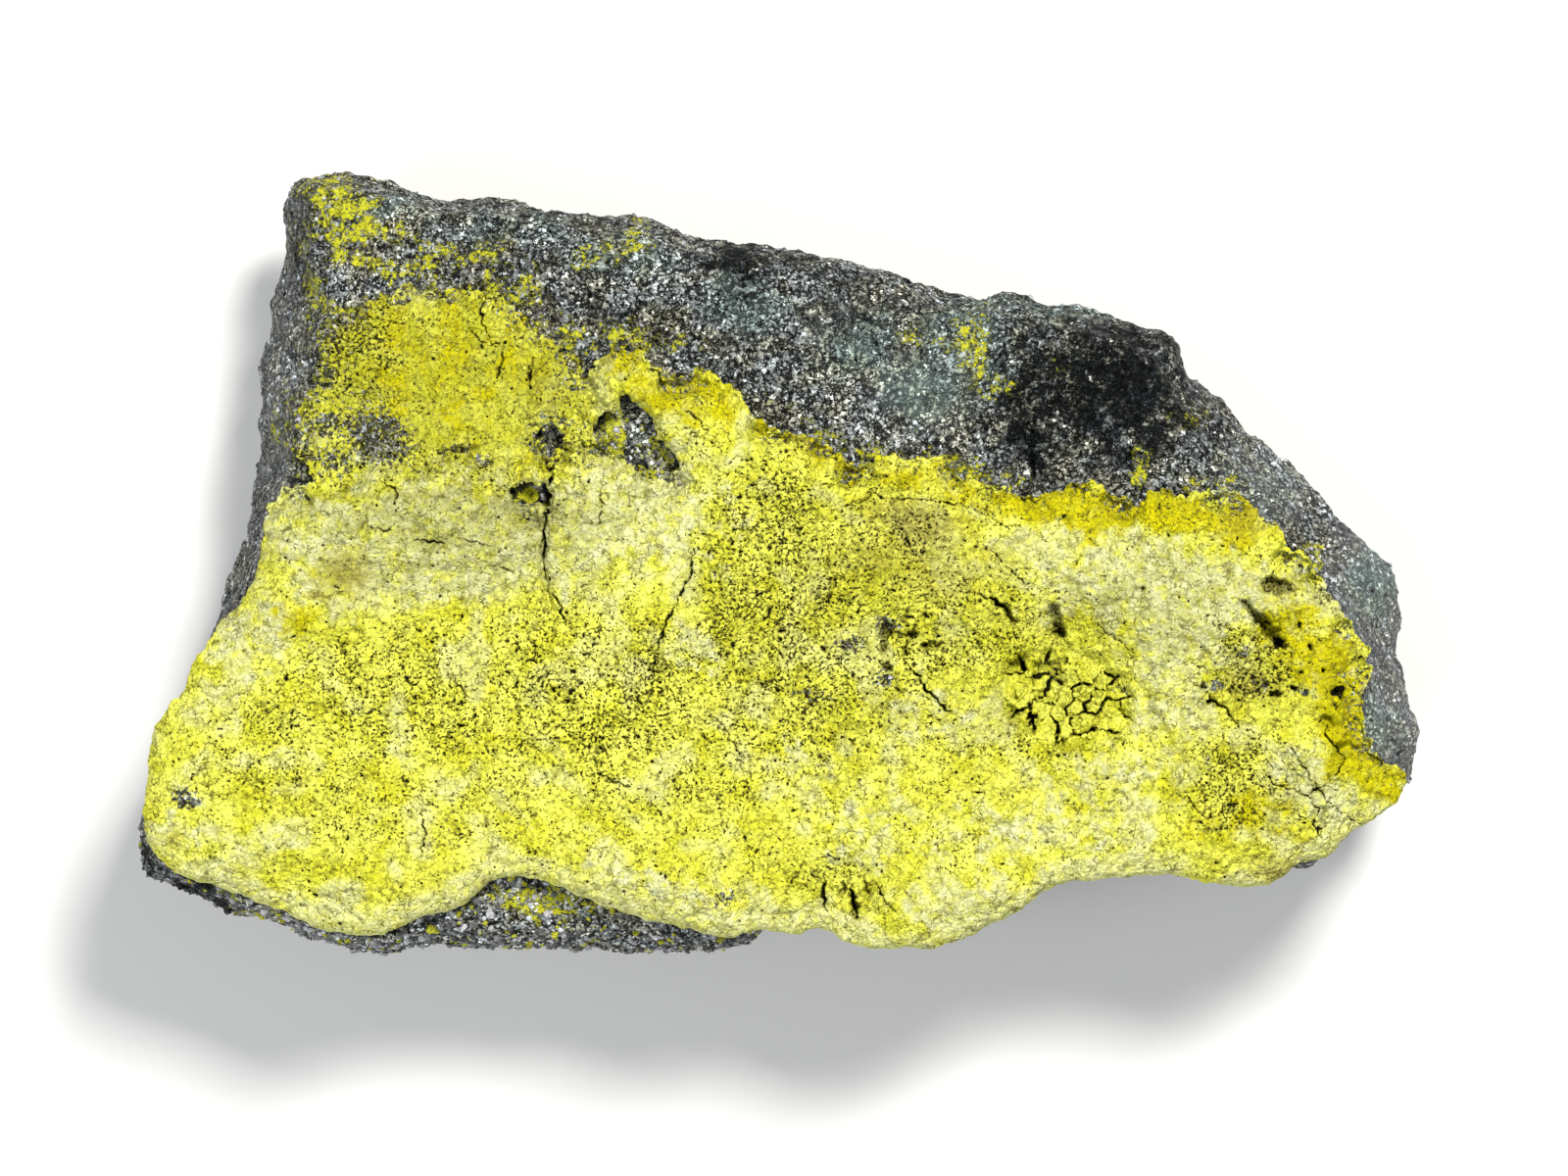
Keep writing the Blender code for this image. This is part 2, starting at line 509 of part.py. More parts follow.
def add_band(bm, lower, upper):
    """Faces between two rings of equal count that run anticlockwise."""
    count = len(lower)
    for index in range(count):
        after = (index + 1) % count
        bm.faces.new((lower[index], lower[after], upper[after], upper[index]))


def finish_mesh(bm, name, material, collection):
    bmesh.ops.triangulate(bm, faces=bm.faces[:])
    bmesh.ops.recalc_face_normals(bm, faces=bm.faces[:])
    mesh = bpy.data.meshes.new(name)
    bm.to_mesh(mesh)
    bm.free()
    mesh.polygons.foreach_set("use_smooth", [True] * len(mesh.polygons))
    mesh.materials.append(material)
    piece = bpy.data.objects.new(name, mesh)
    collection.objects.link(piece)
    return piece


def build_matrix(crust_edge, windows, material, collection):
    """The sandstone slab: a loft up its sides, closed by its resting and upper faces."""
    rim = []
    for ray, radius in enumerate(radii_of(RIM)):
        angle = 2.0 * math.pi * ray / RAYS
        rim.append(HUB + Vector((math.cos(angle), math.sin(angle))) * radius)
    rim_heights = []
    for point in rim:
        bare = smoothstep(-0.5, 2.5, -depth_inside(crust_edge, point.x, point.y))
        height = rock_height(crust_edge, windows, point.x, point.y)
        rim_heights.append(height - mix(0.05, 1.3, bare))
    rings = side_rings(rim_heights)
    bm = bmesh.new()
    ring_verts = [[add_vert(bm, *point) for point in ring] for ring in rings]
    for lower, upper in zip(ring_verts, ring_verts[1:]):
        add_band(bm, lower, upper)
    close_foot(bm, rings[0], ring_verts[0])
    close_face(bm, rings[-1], ring_verts[-1], crust_edge, windows)
    return finish_mesh(bm, "sandstone_matrix", material, collection)


def close_foot(bm, ring, verts):
    loop = [point.xy for point in ring]
    inner = scattered(loop, BASE_STEP, 2.0, 0.45 * BASE_STEP)
    plan, triangles = triangulated([loop], [], inner)
    for point in plan[len(loop):]:
        verts = verts + [add_vert(bm, point.x, point.y, 0.0)]
    for triangle in triangles:
        bm.faces.new([verts[index] for index in reversed(triangle)])


def close_face(bm, ring, verts, crust_edge, windows):
    """The upper face: close points where it shows, wide ones under the crust."""
    loop = [point.xy for point in ring]
    shown = []
    for point in scattered(loop, FACE_STEP, 4.0, 0.6 * FACE_STEP):
        bare = -depth_inside(crust_edge, point.x, point.y)
        for window in windows:
            bare = max(bare, depth_inside(window, point.x, point.y))
        if bare > -0.8:
            shown.append(point)
    covered = []
    for point in scattered(loop, COVERED_STEP, 6.0, 0.6 * COVERED_STEP, windows):
        if depth_inside(crust_edge, point.x, point.y) > 0.6 * COVERED_STEP:
            covered.append(point)
    plan, triangles = triangulated([loop], [], shown + covered)
    for point in plan[len(loop):]:
        height = rock_height(crust_edge, windows, point.x, point.y)
        edge = smoothstep(0.0, 4.5, distance_to(loop, point.x, point.y))
        bare = smoothstep(-0.5, 2.5, -depth_inside(crust_edge, point.x, point.y))
        height -= mix(0.0, 1.2, bare) * (1.0 - edge) ** 2
        verts = verts + [add_vert(bm, point.x, point.y, height)]
    for triangle in triangles:
        bm.faces.new([verts[index] for index in triangle])


def crust_thickness(edge, patch, x, y):
    """Thickness of the crust at a point, from its zones, swells and lumps."""
    above = distance_to(patch, x, y, closed=False)
    in_patch = x < -17.5 and y > 8.0 and y > patch_line(x)
    share = smoothstep(-PATCH_RAMP, PATCH_RAMP, above if in_patch else -above)
    thickness = mix(CRUST_THICKNESS, THIN_PATCH_THICKNESS, share)
    thickness += mix(1.0, 0.35, share) * form_at(CRUST_FORMS, x, y)
    thickness += mix(0.7, 0.2, share) * lumps(x, y, 0.0, 14.0, 5.5)
    thickness += mix(0.55, 0.3, share) * lumps(x, y, 0.0, 5.2, 2.2)
    thickness += mix(0.55, 0.35, share) * lumps(x, y, 0.0, 2.4, 7.4)
    return max(thickness, 0.7)


def patch_line(x):
    """Height in plan of the step between the thin patch and the thick crust."""
    for (x0, y0), (x1, y1) in zip(PATCH_EDGE, PATCH_EDGE[1:]):
        if x0 <= x <= x1:
            return mix(y0, y1, (x - x0) / (x1 - x0))
    return PATCH_EDGE[-1][1]


def block_loops(block):
    """The foot and the top outline of one broken block, with the heights they add."""
    (cx, cy), size, turn, sides, rise = block
    foot = []
    top = []
    for side in range(sides):
        angle = math.radians(turn) + 2.0 * math.pi * side / sides
        reach = size * (1.0 + 0.22 * math.sin(3.7 * side + turn))
        direction = Vector((math.cos(angle), math.sin(angle)))
        middle = Vector((cx, cy))
        foot.append(middle + direction * reach)
        top.append(middle + direction * (reach - BLOCK_SLOPE))
    return foot, top, rise


def crust_details():
    """Constraint lines of the cracks and blocks, and the height that each point adds."""
    lines = []
    added = {}
    avoid = []
    for half_width, depth, points in CRACKS:
        middle = evenly(curve_through(points, False), 1.5, closed=False)
        left = []
        right = []
        last = len(middle) - 1
        for index, point in enumerate(middle):
            run = middle[min(index + 1, last)] - middle[max(index - 1, 0)]
            side = Vector((-run.y, run.x)).normalized()
            taper = 0.35 + 0.65 * math.sin(math.pi * index / last) if last else 1.0
            left.append(point + side * half_width * taper)
            right.append(point - side * half_width * taper)
            added[tuple(point)] = -depth * taper
        lines += [left, middle, right]
        avoid.append((middle, half_width + 0.55))
    for block in BLOCKS:
        foot, top, rise = block_loops(block)
        for point in foot:
            added[tuple(point)] = -0.5
        for point in top:
            added[tuple(point)] = rise
        lines += [foot + foot[:1], top + top[:1]]
        avoid.append((foot, 0.35))
    return lines, added, avoid


def cap_loops(edge, holes):
    """Outline of the crust's top inside its rounded lip, and outlines around its windows."""
    rim = offset_loop(edge, LIP_INSET, False)
    return [rim] + [offset_loop(hole, LIP_INSET * 0.7, True) for hole in holes]


def build_crust(edge, holes, material, collection):
    """The tyuyamunite crust: a lumpy sheet with a rounded lip, windows, cracks and blocks."""
    patch = [Vector(point) for point in PATCH_EDGE]
    caps = cap_loops(edge, holes)
    lines, added, avoid = crust_details()
    inner = []
    for point in scattered(caps[0], CRUST_STEP, 9.0, 0.55 * CRUST_STEP, caps[1:]):
        if all(distance_to(line, point.x, point.y) > gap for line, gap in avoid):
            inner.append(point)
    plan, triangles = triangulated(caps, lines, inner)
    bm = bmesh.new()
    verts = []
    for point in plan:
        thickness = crust_thickness(edge, patch, point.x, point.y)
        nearest = min(distance_to(loop, point.x, point.y) for loop in [edge] + holes)
        thickness *= mix(0.72, 1.0, smoothstep(0.0, 3.2, nearest))
        thickness = max(thickness + added.get(tuple(point), 0.0), 0.55)
        verts.append(add_vert(bm, point.x, point.y, CRUST_Z + thickness))
    for triangle in triangles:
        bm.faces.new([verts[index] for index in triangle])
    close_under(bm, edge, holes, caps, verts)
    return finish_mesh(bm, "tyuyamunite_crust", material, collection)


def close_under(bm, edge, holes, caps, verts):
    """The lip around the crust and its windows, and the flat underside."""
    start = 0
    feet = []
    foot_verts = []
    for place, (loop, cap) in enumerate(zip([edge] + holes, caps)):
        upper = verts[start:start + len(cap)]
        start += len(cap)
        for inset, level in reversed(LIP_LEVELS):
            ring = offset_loop(loop, inset, place > 0)
            lower = []
            for point, top in zip(ring, upper_heights(caps, place, verts)):
                lower.append(add_vert(bm, point.x, point.y, mix(CRUST_Z, top, level)))
            if place:
                add_band(bm, upper, lower)
            else:
                add_band(bm, lower, upper)
            upper = lower
        feet.append(ring)
        foot_verts += lower
    _, triangles = triangulated(feet, [], [])
    for triangle in triangles:
        bm.faces.new([foot_verts[index] for index in reversed(triangle)])


def upper_heights(caps, place, verts):
    start = sum(len(cap) for cap in caps[:place])
    return [vert.co.z / MM for vert in verts[start:start + len(caps[place])]]


def material_named(name, colour, roughness):
    material = bpy.data.materials.new(name)
    material.use_nodes = True
    shader = material.node_tree.nodes["Principled BSDF"]
    shader.inputs["Base Color"].default_value = (*colour, 1.0)
    shader.inputs["Roughness"].default_value = roughness
    shader.inputs["Metallic"].default_value = 0.0
    return material


def clear_scene():
    for item in list(bpy.data.objects):
        bpy.data.objects.remove(item, do_unlink=True)


def main():
    clear_scene()
    specimen = bpy.data.collections.new("tyuyamunite_specimen")
    bpy.context.scene.collection.children.link(specimen)
    sandstone = material_named("grey_sandstone", (0.19, 0.20, 0.185), 0.85)
    powder = material_named("yellow_tyuyamunite", (0.70, 0.70, 0.11), 0.95)
    crust_edge = outline(CRUST_EDGE, CRUST_EDGE_STEP)
    holes = [outline(points, WINDOW_STEP) for points in WINDOWS.values()]
    build_matrix(crust_edge, holes, sandstone, specimen)
    build_crust(crust_edge, holes, powder, specimen)


main()
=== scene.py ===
"""Looks of the tyuyamunite specimen: a powdery lemon-yellow crust on grey quartz sandstone.

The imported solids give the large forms. Each one is refined into a fine mesh, and the script
models on it what the solids leave out: quartz grains, worm-like pits, wrinkles, cracks, crumbled
blocks and the ragged edge of the crust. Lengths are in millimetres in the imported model's frame
until the meshes are made, which are in metres. Places are in pixels of a picture 1600 wide and
1200 high, as the camera sees them.
"""

import itertools
import math
from types import SimpleNamespace

import bmesh
import bpy
import numpy as np
from mathutils import Euler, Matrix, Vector
from mathutils.geometry import delaunay_2d_cdt


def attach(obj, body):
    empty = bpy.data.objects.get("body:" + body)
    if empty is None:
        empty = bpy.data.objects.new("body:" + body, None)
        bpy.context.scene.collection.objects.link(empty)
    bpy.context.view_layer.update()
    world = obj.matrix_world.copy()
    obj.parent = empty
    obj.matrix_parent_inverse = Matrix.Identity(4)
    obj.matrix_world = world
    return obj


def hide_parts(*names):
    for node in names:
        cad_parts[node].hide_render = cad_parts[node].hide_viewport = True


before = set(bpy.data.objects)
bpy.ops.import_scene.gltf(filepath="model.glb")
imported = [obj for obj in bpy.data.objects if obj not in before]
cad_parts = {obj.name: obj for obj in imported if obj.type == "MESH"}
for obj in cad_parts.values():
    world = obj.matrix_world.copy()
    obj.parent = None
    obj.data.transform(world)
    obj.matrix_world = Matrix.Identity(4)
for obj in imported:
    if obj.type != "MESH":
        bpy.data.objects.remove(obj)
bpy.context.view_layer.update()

MM = 0.001
TINY = 1e-9

CRUST_NODE = "tyuyamunite_crust"
ROCK_NODE = "sandstone_matrix"

# The camera looks straight down on the slab. One pixel is PIXEL wide at the level FACE_Z.
PICTURE_MIDDLE = np.array((800.0, 600.0))
PIXEL = 0.09
FACE_Z = 25.0
CAMERA_X = 0.53
CAMERA_Y = -2.51
CAMERA_Z = 625.0
LENS = 150.0
SENSOR = 36.0

# Levels of the crust's flat underside and of the highest rock that it can't cover, and the
# thickness that the crust keeps everywhere.
CRUST_FOOT_Z = 25.3
COVERED_Z = 24.0
LEAST_COATING = 0.15

# Longest edges of the fine meshes.
BLOCK_EDGE = 0.11
CRACK_EDGE = 0.14
PITTED_EDGE = 0.225
CRUST_EDGE = 0.265
PALE_EDGE = 0.35
UNDER_EDGE = 2.2
ROCK_FACE_EDGE = 0.29
ROCK_SIDE_EDGE = 0.66
ROCK_BASE_EDGE = 1.6
COVERED_EDGE = 3.0

# Each mesh is refined step by step: the longest edge of a step, and how often it is then relaxed.
CRUST_ROUNDING = ((1.1, 2), (0.55, 1), (0.3, 1))
ROCK_ROUNDING = ((1.3, 2), (0.7, 1))

# Upright planes that cut the crust and the rock into three pieces each.
CRUST_CUTS = (-20.5, 13.5)
ROCK_CUTS = (-17.0, 19.0)

# Soft elliptical patches: x, y, half-length, half-width, turn in degrees, strength.
PALE = (
    (500, 540, 215, 58, 0, 0.85), (650, 520, 75, 70, 0, 0.85), (430, 585, 115, 30, 0, 0.9),
    (1190, 600, 150, 44, 10, 1.0), (1195, 655, 45, 50, 0, 0.9), (1080, 562, 75, 26, 8, 0.7),
    (672, 908, 85, 18, 16, 0.8), (975, 925, 75, 22, 0, 0.7), (178, 850, 26, 26, 0, 0.6),
    (1340, 805, 50, 40, 40, 0.8), (712, 660, 30, 30, 0, 0.7), (262, 650, 45, 42, -45, 0.8),
    (335, 560, 60, 60, 0, 0.8), (1050, 850, 110, 36, 0, 0.5), (820, 790, 26, 26, 0, 0.6),
    (1190, 720, 40, 60, 0, 0.6), (940, 730, 60, 26, 20, 0.45), (1130, 800, 60, 40, 0, 0.5),
    (700, 455, 30, 60, -25, 0.2), (1320, 640, 16, 34, -20, 0.5), (880, 850, 50, 30, 0, 0.4),
)
PITTED = (
    (470, 715, 230, 85, 5, 0.8), (320, 760, 130, 80, 0, 0.65), (600, 700, 130, 100, 0, 1.0),
    (800, 620, 100, 150, 0, 1.0), (770, 520, 60, 60, 0, 1.0), (860, 700, 100, 60, 0, 0.8),
    (950, 635, 70, 60, 0, 0.9), (400, 825, 180, 50, 0, 0.65), (640, 800, 160, 60, 0, 0.6),
    (1275, 670, 60, 56, 0, 1.0), (1262, 795, 60, 60, 0, 0.9), (850, 850, 70, 45, 0, 0.35),
    (225, 770, 60, 60, 0, 0.5), (590, 730, 50, 70, 20, 1.0),
    (500, 540, 200, 44, 0, 0.5), (600, 440, 50, 60, 0, 0.6), (700, 470, 30, 60, -25, 0.6),
    (850, 475, 110, 20, 22, 0.6), (1000, 508, 90, 16, 8, 0.5), (1180, 530, 110, 16, 4, 0.4),
    (1010, 640, 60, 50, 0, 0.8), (560, 450, 30, 26, 0, 0.5),
    (450, 470, 110, 22, 10, 0.7), (1060, 760, 90, 40, 0, 0.6), (360, 360, 60, 70, 0, 0.9),
    (440, 380, 110, 80, 0, 0.4), (925, 545, 70, 36, 10, 0.9), (1040, 640, 110, 80, 0, 0.6),
    (1120, 700, 90, 60, 0, 0.5),
    (960, 760, 120, 60, 0, 0.55), (600, 860, 260, 50, 0, 0.5), (880, 560, 90, 50, 0, 0.6),
    (700, 760, 220, 90, 0, 0.7), (1180, 760, 80, 60, 0, 0.4), (850, 900, 60, 40, 0, 0.6),
)
GOLD = (
    (1140, 522, 150, 20, 4, 1.0), (1370, 725, 30, 74, -6, 1.0), (1402, 795, 36, 22, 10, 1.0),
    (690, 392, 90, 28, 22, 0.75), (845, 462, 50, 18, 25, 0.7), (460, 370, 110, 80, 0, 0.45),
    (1262, 535, 30, 25, 0, 0.9), (935, 485, 60, 16, 12, 0.6), (1325, 655, 26, 50, -25, 0.75),
    (1270, 830, 70, 26, 0, 0.5), (300, 630, 22, 18, 0, 0.6), (560, 480, 40, 30, 0, 0.4),
)
BROWN = (
    (352, 585, 24, 20, 0, 0.8), (932, 532, 44, 22, 12, 0.8), (905, 562, 50, 26, 0, 0.45),
    (1274, 700, 30, 14, 0, 0.6), (1304, 598, 16, 9, 12, 0.9), (1303, 886, 24, 14, 0, 0.8),
    (960, 590, 40, 20, 0, 0.5),
    (325, 607, 12, 4, 10, 1.0), (175, 857, 9, 9, 0, 0.7), (560, 400, 20, 30, 0, 0.3),
    (1275, 530, 30, 20, 0, 0.35), (820, 450, 12, 8, 0, 0.5), (1010, 570, 30, 16, 0, 0.4),
)
GREY = (
    (188, 812, 15, 14, 0, 1.0), (740, 915, 12, 8, 0, 0.8), (868, 660, 16, 9, 0, 0.9),
    (824, 712, 18, 8, 10, 0.8), (1285, 700, 12, 6, 0, 0.7), (1240, 702, 8, 6, 0, 1.0),
    (1327, 701, 9, 7, 0, 1.0), (1268, 665, 12, 5, -20, 0.9), (383, 446, 36, 26, 20, 1.2),
    (335, 430, 24, 14, 0, 0.9), (338, 470, 26, 14, 20, 0.9), (466, 458, 22, 6, 0, 0.9),
    (495, 472, 15, 6, 0, 0.9), (358, 290, 26, 20, 0, 1.1), (1304, 598, 12, 6, 12, 0.6),
    (330, 330, 14, 30, 0, 0.7), (640, 915, 8, 6, 0, 0.5),
    (1330, 884, 14, 6, -20, 0.9), (905, 640, 14, 12, 0, 0.8), (903, 690, 12, 10, 0, 0.8),
    (1228, 775, 10, 7, 0, 0.6), (1150, 700, 14, 6, 0, 0.5), (565, 445, 16, 20, 0, 0.8),
    (440, 480, 20, 6, 0, 0.4), (600, 470, 10, 14, 0, 0.4), (885, 880, 10, 6, 0, 0.4),
)
# Where the crust is a thin coating, through which the sandstone's grains stand out.
THIN = (
    (335, 335, 50, 70, 0, 0.95), (340, 440, 66, 56, 0, 0.95), (420, 300, 70, 18, 0, 0.8),
    (440, 380, 90, 60, 0, 0.45), (580, 400, 24, 56, 0, 0.85), (562, 445, 32, 26, 0, 0.8),
    (450, 464, 90, 12, 5, 0.7), (1392, 720, 18, 60, -10, 0.6), (1400, 770, 30, 14, 0, 0.7),
    (640, 362, 30, 10, 0, 0.5), (1280, 690, 40, 36, 0, 0.3), (905, 660, 30, 40, 0, 0.3),
)
# Powder that has gone olive and dim, without its own relief.
DIM = (
    (380, 300, 70, 90, 0, 0.5), (900, 600, 90, 70, 0, 0.4), (1280, 690, 60, 60, 0, 0.5),
    (1260, 800, 60, 60, 0, 0.45), (830, 560, 60, 80, 0, 0.35), (1090, 640, 90, 40, 0, 0.3),
    (880, 730, 90, 50, 0, 0.35), (440, 560, 140, 30, 0, 0.2), (350, 640, 60, 30, 0, 0.3),
    (870, 900, 50, 40, 0, 0.3), (600, 440, 60, 60, 0, 0.3),
    (450, 390, 160, 110, 0, 0.9), (330, 330, 50, 90, 0, 0.9), (420, 530, 130, 40, 0, 0.25),
    (1110, 800, 70, 40, 0, 0.2), (430, 575, 160, 50, 0, 0.4), (470, 530, 160, 45, 0, 0.8),
    (1180, 620, 110, 70, 0, 0.5), (1050, 680, 130, 90, 0, 0.45), (360, 375, 50, 50, 0, 1.0),
    (790, 600, 90, 130, 0, 0.3), (250, 600, 60, 60, 0, 0.3), (1300, 800, 70, 60, 0, 0.3),
    (930, 540, 60, 30, 12, 0.3),
    (1270, 650, 50, 60, 0, 0.3),
)

# The rock at the bottom of the crust's openings: yellow powder on it, and painted shadow where the crust's
# walls shade it.
FLOOR_STAIN = ((538, 503, 11, 9, 0, 1.3), (624, 442, 20, 32, 0, 0.68), (655, 486, 34, 12, 10, 0.74),
               (668, 462, 24, 36, -28, 0.52))
# Painted shadow on the openings' floor, along the walls that shade it.
FLOOR_SHADOW = ((561, 500, 7, 15, 0, 1.0), (690, 462, 6, 26, -28, 0.9), (640, 412, 12, 5, 0, 0.5),
              (530, 490, 12, 3, 0, 0.8))

# Rock with a soft, even grey.
ROCK_SOFT = ((1400, 620, 44, 110, -10, 0.6), (1422, 740, 34, 80, 0, 0.6), (280, 380, 24, 180, 4, 0.35),
             (940, 400, 50, 40, 0, 0.3), (1300, 500, 40, 50, -40, 0.3), (860, 330, 50, 30, 0, 0.15))

# Bare grey rock within the yellow stain.
ROCK_BARE = ((358, 290, 26, 18, 0, 0.6), (392, 258, 26, 8, 10, 0.4), (330, 262, 10, 18, 0, 0.4))

# Rock whose grains stand out more.
COARSE = ((560, 935, 260, 50, 0, 1.0), (300, 940, 180, 40, 25, 1.0), (655, 450, 40, 40, 0, 0.6))

# Open cracks: half-width and depth in millimetres, then the pixels that they run through.
CRACKS = (
    (0.16, 1.1, ((562, 470), (559, 500), (557, 520), (555, 545), (554, 575), (562, 600))),
    (0.12, 0.8, ((562, 600), (568, 612), (572, 622), (578, 640))),
    (0.10, 0.6, ((708, 560), (705, 585), (690, 615), (678, 640), (668, 670))),
    (0.10, 0.6, ((668, 670), (666, 690), (664, 712))),
    (0.07, 0.4, ((862, 515), (885, 510), (892, 504), (905, 508), (950, 510), (985, 516))),
    (0.05, 0.3, ((985, 516), (1010, 527), (1030, 540))),
    (0.10, 0.6, ((495, 300), (490, 315), (492, 330), (500, 345))),
    (0.09, 0.5, ((478, 335), (484, 342), (492, 350), (515, 352))),
    (0.09, 0.5, ((700, 420), (712, 428), (722, 440))), (0.09, 0.5, ((545, 365), (540, 385), (540, 402))),
    (0.12, 0.7, ((388, 494), (402, 497), (405, 503), (402, 515))),
    (0.12, 0.6, ((378, 538), (390, 540), (402, 542))), (0.12, 0.6, ((424, 550), (440, 552), (452, 554))),
    (0.12, 0.6, ((474, 550), (484, 553), (494, 556))), (0.09, 0.5, ((503, 578), (514, 580), (522, 583))),
    (0.10, 0.5, ((612, 503), (614, 520), (610, 535))), (0.11, 0.6, ((1118, 634), (1128, 645), (1140, 652))),
    (0.08, 0.4, ((1140, 652), (1150, 660), (1158, 668))),
    (0.07, 0.5, ((1316, 762), (1326, 776), (1335, 790), (1345, 805), (1357, 820))),
    (0.06, 0.4, ((1357, 820), (1372, 832), (1390, 842))),
    (0.06, 0.4, ((1290, 790), (1302, 800), (1318, 806), (1334, 812), (1345, 826))),
    (0.06, 0.3, ((1334, 812), (1350, 800), (1366, 806))),
    (0.06, 0.3, ((1300, 830), (1316, 822), (1334, 838))),
    (0.06, 0.3, ((1270, 760), (1290, 772), (1300, 786))),
    (0.06, 0.3, ((1345, 826), (1340, 842), (1350, 854))),
    (0.13, 0.8, ((1232, 705), (1236, 716), (1250, 722), (1258, 735), (1266, 745))),
    (0.13, 1.0, ((1354, 742), (1352, 750), (1357, 756), (1363, 760), (1368, 768), (1372, 776))),
    (0.09, 0.6, ((1372, 776), (1366, 786), (1362, 794))),
    (0.18, 1.0, ((868, 905), (872, 920), (874, 936))), (0.12, 0.8, ((842, 893), (840, 910), (842, 930))),
    (0.10, 0.7, ((893, 900), (900, 916), (912, 930))), (0.10, 0.6, ((820, 880), (808, 900), (800, 915))),
    (0.10, 0.6, ((857, 878), (846, 872), (836, 876))), (0.12, 0.8, ((1000, 606), (1015, 612), (1030, 625))),
    (0.14, 0.9, ((925, 680), (938, 690), (945, 705), (960, 718), (970, 728))),
    (0.10, 0.5, ((1010, 560), (1022, 572), (1038, 588), (1050, 596))),
    (0.10, 0.6, ((610, 790), (625, 796), (640, 802))), (0.09, 0.5, ((680, 700), (690, 712), (695, 722))),
    (0.08, 0.4, ((725, 730), (740, 742), (750, 760), (757, 778))),
    (0.10, 0.5, ((1210, 815), (1218, 822), (1224, 832))), (0.12, 0.7, ((515, 350), (512, 370), (504, 392))),
    (0.10, 0.6, ((430, 830), (434, 850), (432, 870))), (0.10, 0.6, ((462, 690), (470, 700), (474, 712))),
)

# Hollows with steep sides: x, y, half-length, half-width in pixels, turn, depth in millimetres.
HOLLOWS = (
    (1279, 626, 18, 4, 52, 0.9), (1295, 642, 16, 7, 52, 1.3), (1306, 657, 6, 5, 60, 1.8),
    (1077, 627, 5, 10, -14, 1.0),
    (1081, 643, 5, 8, -8, 1.5), (1073, 682, 12, 6, 20, 1.2), (1053, 731, 4, 15, -8, 1.9),
    (904, 643, 6, 8, 10, 1.2), (901, 662, 4, 7, 10, 0.8), (930, 648, 5, 4, 0, 1.4),
    (925, 662, 2, 8, 8, 1.2), (905, 680, 6, 4, 30, 1.0), (950, 658, 12, 3, -10, 1.0),
    (1018, 616, 12, 2, 25, 1.2), (1031, 628, 4, 9, -25, 1.0), (1040, 676, 10, 4, -20, 1.0),
    (872, 925, 4, 12, -6, 1.2), (1304, 598, 16, 8, 12, 1.2), (1320, 702, 3, 3, 0, 1.4),
    (1303, 708, 6, 3, 0, 1.6), (860, 908, 3, 7, 20, 0.8), (885, 905, 2, 9, -20, 0.8),
    (1245, 640, 3, 3, 0, 0.7), (1337, 660, 2, 3, 0, 1.2), (1350, 684, 3, 2, 0, 1.4),
    (1236, 716, 4, 3, 20, 1.2), (1228, 700, 3, 3, 0, 0.9), (1165, 600, 3, 3, 0, 0.9),
)

# Broken blocks that stand in the crumbled hollow: middle, size in pixels, height.
BLOCKS = (
    (1040, 704, 17, 1.2), (1028, 718, 8, 0.3), (1060, 703, 8, 0.9), (1062, 724, 9, 0.7),
    (1076, 708, 7, 1.0), (1093, 690, 10, 1.1), (1110, 683, 13, 1.2), (1100, 675, 5, 0.5),
    (1124, 694, 7, 0.6), (1088, 712, 9, 1.1), (1104, 708, 9, 0.9), (1098, 724, 9, 1.0),
    (1113, 722, 5, 0.7), (1122, 712, 5, 0.8), (1138, 706, 5, 0.8), (1134, 722, 8, 0.6),
    (1080, 728, 5, 0.9), (1070, 740, 5, 0.6), (1090, 742, 5, 0.8), (1106, 738, 12, 1.2),
    (1124, 737, 5, 0.5), (1142, 738, 5, 0.4), (1118, 756, 12, 1.0), (1098, 756, 5, 0.2),
    (1078, 670, 5, 0.4), (1052, 682, 5, 0.6), (1040, 686, 5, 0.3), (1150, 722, 5, 0.3),
    (1132, 680, 5, 0.2), (1064, 664, 5, 0.3), (1045, 735, 5, 0.2), (1136, 756, 5, 0.3),
    (1152, 700, 5, 0.2), (1015, 704, 5, 0.1), (1090, 660, 5, 0.3),
)
BLOCK_FIELD = ((1090, 712, 70, 48, 14, 1.0),)

# The middle of the crooked hole in the golden edge of the crust.
HOOK = ((1373, 698), (1368, 704), (1362, 711), (1360, 717), (1361, 723))

# Bare rock: where it is darker, lighter or greener, and where thin yellow powder lies on it.
ROCK_DARK = (
    (1128, 398, 96, 66, 14, 0.95), (1160, 350, 60, 40, 0, 0.7), (1060, 420, 40, 50, 0, 0.8),
    (755, 265, 40, 26, 0, 0.8), (862, 322, 50, 26, 0, 0.55), (1055, 455, 10, 34, 0, 0.9),
    (1150, 462, 8, 22, 0, 0.7), (640, 335, 60, 20, 20, 0.5), (470, 915, 60, 12, -20, 0.4),
    (200, 905, 60, 14, 30, 0.7), (610, 908, 60, 10, 14, 0.35), (555, 220, 60, 12, 0, 0.4),
    (520, 460, 60, 40, 0, 0.5), (310, 240, 14, 60, 0, 0.4), (1200, 430, 60, 26, 0, 0.5),
    (950, 310, 60, 20, 0, 0.35), (1340, 610, 10, 40, -30, 0.4), (1140, 400, 70, 46, 10, 1.0),
    (850, 270, 60, 14, 8, 0.5), (1000, 300, 80, 12, 8, 0.4), (1190, 350, 40, 20, 20, 0.5),
)
